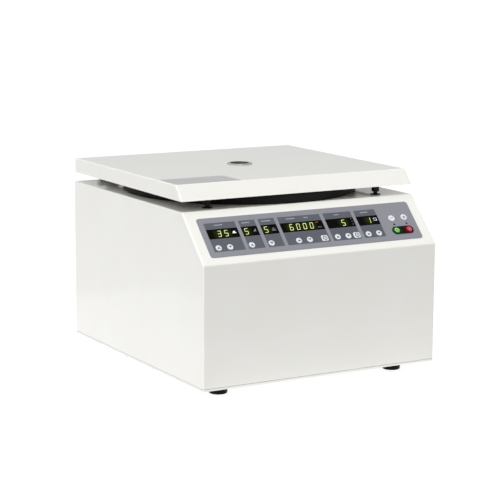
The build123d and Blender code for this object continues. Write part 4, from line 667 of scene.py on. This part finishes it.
def ink_material(name, colour, roughness):
    """Screen-printed ink: flat colour with a slightly uneven film."""
    material, tree, shader, place = surface(name)
    film = add(tree, "TexNoise", Vector=place, Scale=1 / INK_FILM, Detail=2.0)
    connect(tree, shader, Base_Color=colour, IOR=1.5,
            Roughness=add(tree, "MapRange", Value=film,
                          To_Min=roughness, To_Max=roughness + INK_SWING),
            Normal=add(tree, "Bump", Height=film, Distance=INK_DEPTH))
    return material


# Pale ink: satin, a little lighter than the grey round it.
pale_ink = ink_material("pale_ink", INK_PALE, 0.4)
marks = [box_outline((a + b) / 2, MARK_ROW, b - a, MARK_H) for a, b in MARK_SPANS]
thin_film("overlay_marks", marks, pale_ink)

# ---- Keys and their signs ----
# Moulded silicone keys in the sheet: pale ones with a grey arrow, square set keys with a ring,
# two side keys, and the lit green start and red stop keys in their black surround.
KEY_PALE = "#E8EBEE"
KEY_EDGE_TONE = "#D3D8E0"
KEY_GREEN = "#55933A"
KEY_GREEN_DEEP = "#26641E"
KEY_RED = "#9A2034"
KEY_RED_DEEP = "#660A1A"
KEY_GLOW = 0.08
MILK = 0.006  # clouding of the silicone
KEY_SKIN, SKIN_DEPTH = 0.0006, 0.00001  # real skin is finer, and wouldn't show
SIGN_GREY = "#555E6E"
SIGN_LEAF, LEAF_STRENGTH = "#B4DA98", 0.35
SIGN_ROSE, ROSE_STRENGTH = "#CC7484", 0.2
SIGN_THICK = 0.00008
BEZEL_BLACK = "#060606"
# Painted glow of the lit keys on the black surround: green near start, red near stop.
BEZEL_PAINTED_GREEN_GLOW = "#06300E"
BEZEL_PAINTED_RED_GLOW = "#4A0612"
BEZEL_SPREAD = 0.0065  # reach of a key's light in the surround, from its middle
BEZEL_DEPTH = 0.00001
TOP_FACE = 1e-5  # a key's points this near its highest belong to its top
# The signs, about the middle of a key: rings by outer and inner radius, bars as box outlines.
ARROW = np.array([(-0.0031, -0.0018), (0.0031, -0.0018), (0.0, 0.0018)])
SET_RING, SET_DOT_R = (0.0042, 0.0028), 0.0011
LIT_RING = (0.0038, 0.0029)
DISC_POINTS, ARC_POINTS = 20, 9
START_BAR, STOP_SQUARE = (0.0009, 0.0030), (0.0026, 0.0026)
ENTER_BARS = ((0.0020, 0.0012, 0.0008, 0.0024), (0.0002, 0.0, 0.0044, 0.0008))
ENTER_HEAD = ((-0.0028, 0.0), (-0.0012, -0.0014), (-0.0012, 0.0014))
OPEN_BAR = (0.0, -0.0020, 0.0050, 0.0009)
OPEN_HEAD = ((-0.0026, -0.0006), (0.0026, -0.0006), (0.0, 0.0024))


def ring_quarters(outer, inner, s=0.0):
    """A flat ring about (0, s) as four arcs of band, so that each one is a plain outline."""
    arcs = []
    for start in (0.0, pi / 2, pi, 3 * pi / 2):
        arcs.append(np.concatenate([
            disc_outline(0.0, s, outer, ARC_POINTS, start, pi / 2),
            disc_outline(0.0, s, inner, ARC_POINTS, start, pi / 2)[::-1],
        ]))
    return arcs


def silicone(name, light, deep, glow):
    """Silicone rubber: milky, satin, faintly lit from below, darker in random clouds."""
    material, tree, shader, place = surface(name)
    milk = add(tree, "TexNoise", Vector=place, Scale=1 / MILK, Detail=2.0)
    skin = add(tree, "TexNoise", Vector=place, Scale=1 / KEY_SKIN, Detail=1.0)
    finish(tree, shader, milk, colours=(light, deep), roughness=(0.32, 0.44),
           relief=(skin, SKIN_DEPTH), IOR=1.41, Subsurface_Weight=0.15, Subsurface_Scale=0.001,
           Emission_Color=light, Emission_Strength=glow)
    return material


def key_face(name):
    """Middle and height of a key's top face: x across, s up the slope, h out of it."""
    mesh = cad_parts[name].data
    points = np.zeros(len(mesh.vertices) * 3)
    mesh.vertices.foreach_get("co", points)
    x, y, z = (points.reshape(-1, 3) - (0, FRONT_Y, BEND_Z)).T
    s = y * cos(SLOPE) + z * sin(SLOPE)
    h = z * cos(SLOPE) - y * sin(SLOPE)
    top = h > h.max() - TOP_FACE
    return (x[top].min() + x[top].max()) / 2, (s[top].min() + s[top].max()) / 2, h.max()


pale_silicone = silicone("pale_silicone", KEY_PALE, KEY_EDGE_TONE, 0.0)
green_silicone = silicone("green_silicone", KEY_GREEN, KEY_GREEN_DEEP, KEY_GLOW)
red_silicone = silicone("red_silicone", KEY_RED, KEY_RED_DEEP, KEY_GLOW)
grey_ink = ink_material("grey_ink", SIGN_GREY, 0.45)
leaf_light = lit_material("leaf_light", SIGN_LEAF, LEAF_STRENGTH)
rose_light = lit_material("rose_light", SIGN_ROSE, ROSE_STRENGTH)

# Gloss black surround, with painted glow: dark green round the lit start key, dark red round stop.
run_surround, tree, shader, place = surface("gloss_black_surround")
across = face_place(tree, place, ACROSS)
start_x, stop_x = key_face("key_start")[0], key_face("key_stop")[0]
middle_x = (start_x + stop_x) / 2
painted_green_glow = add(tree, "MapRange", Value=across, From_Min=start_x + BEZEL_SPREAD,
               From_Max=middle_x, To_Min=1.0, To_Max=0.0)
painted_red_glow = add(tree, "MapRange", Value=across, From_Min=middle_x, From_Max=stop_x - BEZEL_SPREAD)
green_glow_half = add(tree, "Mix", "Result_Color", data_type="RGBA",
                Factor_Float=painted_green_glow, A_Color=BEZEL_BLACK, B_Color=BEZEL_PAINTED_GREEN_GLOW)
scuff = add(tree, "TexNoise", Vector=place, Scale=1 / ABS_GRAIN, Detail=2.0)
connect(tree, shader, IOR=1.5, Specular_IOR_Level=0.12,
        Base_Color=add(tree, "Mix", "Result_Color", data_type="RGBA",
                       Factor_Float=painted_red_glow, A_Color=green_glow_half, B_Color=BEZEL_PAINTED_RED_GLOW),
        Roughness=add(tree, "MapRange", Value=scuff, To_Min=0.22, To_Max=0.34),
        Normal=add(tree, "Bump", Height=scuff, Distance=BEZEL_DEPTH))
dress(run_surround, "run_bezel")

# Each key's finish and sign go by the last word of its name; the sign rides on the key.
signs = {
    "up": [ARROW], "accel": [ARROW], "down": [ARROW * (1, -1)], "decel": [ARROW * (1, -1)],
    "set": [*ring_quarters(*SET_RING), disc_outline(0.0, 0.0, SET_DOT_R, DISC_POINTS)],
    "enter": [*(box_outline(*bar) for bar in ENTER_BARS), ENTER_HEAD],
    "lid": [box_outline(*OPEN_BAR), OPEN_HEAD],
    "start": [*ring_quarters(*LIT_RING), box_outline(0.0, 0.0, *START_BAR)],
    "stop": [*ring_quarters(*LIT_RING), box_outline(0.0, 0.0, *STOP_SQUARE)],
}
finishes = {"start": (green_silicone, leaf_light), "stop": (red_silicone, rose_light)}
commands = ["key_enter", "key_lid", "key_start", "key_stop"]
adjusters = {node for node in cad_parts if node.startswith("key_")} - set(commands)
for name in sorted(adjusters) + commands:
    sign = name.split("_")[-1]
    key_finish, sign_finish = finishes.get(sign, (pale_silicone, grey_ink))
    dress(key_finish, name)
    x, s, height = key_face(name)
    points, faces = prisms([np.add(outline, (x, s)) for outline in signs[sign]],
                           height, height + SIGN_THICK, on_face)
    piece(name + "_sign", points, faces, sign_finish, name.removeprefix("key_") + "_key")

# ---- Drive unit and fan ----
# The motor's drive sits in a finned aluminium case, cast as the yoke is, on the pan's floor. The
# fan behind the grille is moulded ABS: a frame with four struts, and an impeller on its axle.
dress(cast_aluminium, "drive_unit")
dress(black_abs, "fan_frame", "fan_impeller")

# ---- Mains inlet and rocker ----
# Moulded black module clipped into the rear panel: a socket with three pins of nickel-plated
# brass, and above it a rocker with the on and off marks printed on its two faces.
INLET_X = -0.140
SOCKET_Z, SOCKET_FLOOR_Y = 0.052, 0.2185
PINS_HALF_W, PINS_HALF_H, PINS_REACH = 0.0082, 0.0034, 0.0115  # field that holds the pins
PINS_FOOT = 0.0002  # the plating starts this far above the socket's floor
PIN_SHINE = 0.2  # by how much the plating is smoother than the moulding
INLET_DEPTH = 0.00003
ROCKER_Y, ROCKER_Z = 0.233, 0.0805
ROCKER_FACE, ROCKER_TILT = 0.003, radians(12)
ON_OFF_ROW = 0.0055  # marks from the axle
ON_BAR, OFF_RING = (0.0008, 0.0038), (0.0020, 0.0013)
NICKEL = "#CFC8B8"
MARK_WHITE = "#E8E8E6"

# Grained black moulding round bright plated pins.
inlet_plastic, tree, shader, place = surface("inlet_black_and_nickel")
plated = None
for axis, low, high in (
    ("X", INLET_X - PINS_HALF_W, INLET_X + PINS_HALF_W),
    ("Z", SOCKET_Z - PINS_HALF_H, SOCKET_Z + PINS_HALF_H),
    ("Y", SOCKET_FLOOR_Y + PINS_FOOT, SOCKET_FLOOR_Y + PINS_REACH),
):
    inside = add(tree, "Math", operation="COMPARE",
                 Value=add(tree, "SeparateXYZ", axis, Vector=place),
                 Value_001=(low + high) / 2, Value_002=(high - low) / 2)
    plated = inside if plated is None else add(tree, "Math", operation="MULTIPLY",
                                               Value=plated, Value_001=inside)
spark = add(tree, "TexNoise", Vector=place, Scale=1 / ABS_GRAIN, Detail=2.0)
plastic = add(tree, "Mix", "Result_Color", data_type="RGBA",
              Factor_Float=spark, A_Color=ABS_BLACK, B_Color=ABS_SHINE)
dull = add(tree, "MapRange", Value=spark, To_Min=0.36, To_Max=0.52)
shine = add(tree, "Math", operation="MULTIPLY", Value=plated, Value_001=PIN_SHINE)
connect(tree, shader, Metallic=plated,
        Base_Color=add(tree, "Mix", "Result_Color", data_type="RGBA",
                       Factor_Float=plated, A_Color=plastic, B_Color=NICKEL),
        Roughness=add(tree, "Math", operation="SUBTRACT", Value=dull, Value_001=shine),
        Normal=add(tree, "Bump", Height=spark, Distance=INLET_DEPTH))
dress(inlet_plastic, "power_inlet")
dress(black_abs, "power_rocker")


def on_rocker(u, v, h):
    """Points of the rocker's face: u across, v from the axle, h out of it. The face is a shallow
    V, further out the further from the axle, and it is turned by the tilt about the axle."""
    out = ROCKER_FACE + np.abs(v) * tan(ROCKER_TILT) + h
    y = ROCKER_Y + out * cos(ROCKER_TILT) - v * sin(ROCKER_TILT)
    z = ROCKER_Z + out * sin(ROCKER_TILT) + v * cos(ROCKER_TILT)
    return np.stack(np.broadcast_arrays(INLET_X - u, y, z), axis=-1)


# White ink of the on and off marks.
mark_white = ink_material("mark_white", MARK_WHITE, 0.4)
on_off = [box_outline(0.0, -ON_OFF_ROW, *ON_BAR), *ring_quarters(*OFF_RING, ON_OFF_ROW)]
points, faces = prisms(on_off, 0.0, LIT_THICK, on_rocker)
piece("mains_switch_marks", points, faces, mark_white, "mains_switch")

# ---- Hinges and screws ----
# Zinc-plated steel leaves with rolled knuckles, on ground pins. Pan-head screws, cold-headed with
# a cross recess and plated too, hold the hinges to the rear panel and the panel to the housing;
# the feet have screws of their own from below.
HEAD_R, HEAD_H = 0.0038, 0.0022
SHANK_R, SHANK_L = 0.0020, 0.0080
TIP_R, TIP_L = 0.6, 0.4  # the tip, in radii of the shank
DOME = ((1.0, 0.45), (0.93, 0.72), (0.80, 0.90))  # rings, in radii and heights of the head
CROSS_ARM, CROSS_HALF = 0.0021, 0.00045  # recess: reach of an arm, and half its width
CROSS_DEPTH = 0.0013
RECESS = ((1.0, 0.0), (0.92, 1.0), (0.25, 1.3))  # rings, in sizes and depths of the cross
HEAD_POINTS = 64
LEAST_SINE = 1e-6  # keeps the flank's radius finite along an arm
PANEL_Y, HINGE_FACE_Y = 0.2325, 0.2350  # faces that the heads lie on
SIDE_X, SIDE_Z = 0.2125, (0.0595, 0.156, 0.2525)
TOP_X, TOP_Z = 0.060, 0.2845
HINGE_X, LEAF_HOLE = 0.145, 0.016  # middle of a hinge, and how far off it its two screws are
PANEL_SCREWS = [(sx * SIDE_X, z) for sx in (-1, 1) for z in SIDE_Z]
PANEL_SCREWS += [(-TOP_X, TOP_Z), (TOP_X, TOP_Z)]
HINGE_SCREWS = [(sx * HINGE_X + dx, TOP_Z) for sx in (-1, 1) for dx in (-LEAF_HOLE, LEAF_HOLE)]


def cross_screws(places, turns):
    """Cross-recessed screws along Y. Rings of points round each axis run from the shank's tip out
    over the dome and down into the recess; a ring's radius is a circle's, or the cross's: the arm
    end where the angle is within the arm, and its flank beyond. Both poles are closed."""
    angle = np.linspace(0, 2 * pi, HEAD_POINTS, endpoint=False)
    near = (angle + pi / 4) % (pi / 2) - pi / 4  # angle from the nearest arm
    flank = CROSS_HALF / np.maximum(np.abs(np.sin(near)), LEAST_SINE)
    cross = np.minimum(CROSS_ARM / np.cos(near), flank)
    rings = [(TIP_R * SHANK_R, -SHANK_L), (SHANK_R, TIP_L * SHANK_R - SHANK_L), (SHANK_R, 0.0)]
    rings += [(HEAD_R, 0.0)] + [(r * HEAD_R, h * HEAD_H) for r, h in DOME]
    rings += [(r * cross, HEAD_H - h * CROSS_DEPTH) for r, h in RECESS]
    radius = np.stack([np.broadcast_to(r, angle.shape) for r, _ in rings])
    height = np.array([h for _, h in rings])[:, None] + np.zeros_like(angle)
    x, y, z = np.array(places).T[:, :, None, None]
    turned = angle + np.reshape(turns, (-1, 1, 1))
    points = np.stack([x + radius * np.cos(turned), y + height, z + radius * np.sin(turned)], -1)
    around = np.arange(HEAD_POINTS)
    after = (around + 1) % HEAD_POINTS
    band = np.stack([around, around + HEAD_POINTS, after + HEAD_POINTS, after], axis=1)
    last = len(rings) - 1
    quads = (band + HEAD_POINTS * np.arange(last)[:, None, None]).reshape(-1, 4)
    poles = np.stack([around, around[::-1] + HEAD_POINTS * last])
    first = HEAD_POINTS * len(rings) * np.arange(len(places))[:, None, None]
    faces = (quads + first).reshape(-1, 4).tolist()
    return points.reshape(-1, 3), faces + (poles + first).reshape(-1, HEAD_POINTS).tolist()


dress(zinc_plate, "hinge_bases", "hinge_arms", "foot_screws")
dress(ground_steel, "hinge_pins")

# Each screw of the rear stopped at its own angle.
places = [(x, PANEL_Y, z) for x, z in PANEL_SCREWS]
places += [(x, HINGE_FACE_Y, z) for x, z in HINGE_SCREWS]
turns = np.random.default_rng(7).uniform(0, pi / 2, len(places))
screws = piece("rear_screws", *cross_screws(places, turns), zinc_plate, "cabinet")
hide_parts("case_screws")

# ---- Room: floor, light and camera ----
# A seamless white table, lit from below as in a product tent, a little more right before the
# front; one broad soft light at the left front corner, one overhead, and a white room that is
# brightest behind the machine. The camera stands at that corner, above the lid, with a long lens.
TABLE_TONE = "#505050"
TABLE_HALF = 30.0
TABLE_GLOW = 0.93
TABLE_MOTTLE = 0.05
CORNER_FROM, CORNER_POWER = Vector((-0.676, -0.516, 0.525)), 2.2
TOP_FROM, TOP_POWER = Vector((0.0, 0.0, 1.0)), 1.38
LAMP_ANGLE = radians(45)  # how broad both look from the machine
GLOW_SIDE, GLOW_POWER = 1.2, 1.1  # metres and watts of the panel under the machine
STRIP_WIDE, STRIP_DEEP, STRIP_POWER = 0.44, 0.03, 0.016  # and of the strip before its front
STRIP_Y = -0.2605
LAMP_LIFT = 0.001  # both lie just above the table
ROOM_LIGHT = 0.30
BACKDROP_FROM = (0.50, 0.87, 0.0)
BACKDROP_LIGHT = 0.26
BACKDROP_EDGE, BACKDROP_FULL = 0.1, 0.9  # where it begins and where it is full, as cosines
EYE = (-1.485895, -2.584208, 0.721681)  # where the camera stands
EYE_YAW, EYE_PITCH, EYE_ROLL = 0.52311, -0.1777, 0.00594
EYE_LENS, EYE_SENSOR = 126.2, 36  # millimetres
EYE_REACH = 100  # metres

# Lit acrylic table: it glows evenly white and adds little of the room's light to that, so that
# shadows stay faint.
table_finish, tree, shader, place = surface("lit_acrylic_table")
mottle = add(tree, "TexNoise", Vector=place, Scale=1 / TABLE_MOTTLE, Detail=2.0)
connect(tree, shader, Base_Color=TABLE_TONE, Emission_Color="#FFFFFF",
        Emission_Strength=TABLE_GLOW,
        Roughness=add(tree, "MapRange", Value=mottle, To_Min=0.75, To_Max=0.85))
table_mesh = bpy.data.meshes.new("table")
corners = [(-TABLE_HALF, -TABLE_HALF, 0), (TABLE_HALF, -TABLE_HALF, 0),
           (TABLE_HALF, TABLE_HALF, 0), (-TABLE_HALF, TABLE_HALF, 0)]
table_mesh.from_pydata(corners, [], [(0, 1, 2, 3)])
table_mesh.materials.append(table_finish)
table = bpy.data.objects.new("table", table_mesh)
bpy.context.scene.collection.objects.link(table)
table.visible_diffuse = False  # it glows for the camera, and the room lights the machine
table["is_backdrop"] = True

for name, source, power in (
    ("soft_key", CORNER_FROM, CORNER_POWER), ("soft_top", TOP_FROM, TOP_POWER),
):
    lamp_data = bpy.data.lights.new(name, "SUN")
    lamp_data.energy = power
    lamp_data.angle = LAMP_ANGLE
    lamp = bpy.data.objects.new(name, lamp_data)
    lamp.rotation_euler = source.to_track_quat("Z", "Y").to_euler()
    lamp.visible_glossy = source is TOP_FROM  # the coat mirrors the room and the overhead light
    bpy.context.scene.collection.objects.link(lamp)

for name, wide, deep, power, y in (
    ("table_panel", GLOW_SIDE, GLOW_SIDE, GLOW_POWER, 0.0),
    ("front_strip", STRIP_WIDE, STRIP_DEEP, STRIP_POWER, STRIP_Y),
):
    lamp_data = bpy.data.lights.new(name, "AREA")
    lamp_data.shape = "RECTANGLE"
    lamp_data.size, lamp_data.size_y = wide, deep
    lamp_data.energy = power
    lamp = bpy.data.objects.new(name, lamp_data)
    lamp.location = (0.0, y, LAMP_LIFT)
    lamp.rotation_euler = (pi, 0.0, 0.0)  # facing up
    lamp.visible_camera = False
    bpy.context.scene.collection.objects.link(lamp)

world = bpy.data.worlds.new("soft_room")
world.use_nodes = True
tree = world.node_tree
direction = add(tree, "TexCoord", "Generated")
towards = add(tree, "VectorMath", "Value", operation="DOT_PRODUCT",
              Vector=direction, Vector_001=BACKDROP_FROM)
light = add(tree, "MapRange", Value=towards, From_Min=BACKDROP_EDGE, From_Max=BACKDROP_FULL,
            To_Min=ROOM_LIGHT, To_Max=ROOM_LIGHT + BACKDROP_LIGHT)
connect(tree, tree.nodes["Background"], Color="#FFFFFF", Strength=light)
bpy.context.scene.world = world
bpy.context.scene.view_settings.view_transform = "Standard"

ahead = Vector((sin(EYE_YAW) * cos(EYE_PITCH), cos(EYE_YAW) * cos(EYE_PITCH), sin(EYE_PITCH)))
level = Vector((cos(EYE_YAW), -sin(EYE_YAW), 0.0))
above = level.cross(ahead)
right = level * cos(EYE_ROLL) + above * sin(EYE_ROLL)
upward = above * cos(EYE_ROLL) - level * sin(EYE_ROLL)
camera_data = bpy.data.cameras.new("camera")
camera_data.lens = EYE_LENS
camera_data.sensor_width = EYE_SENSOR
camera_data.clip_end = EYE_REACH
camera = bpy.data.objects.new("camera", camera_data)
turned = Matrix((right, upward, -ahead)).transposed().to_4x4()
camera.matrix_world = Matrix.Translation(EYE) @ turned
bpy.context.scene.collection.objects.link(camera)
bpy.context.scene.camera = camera

low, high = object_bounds()
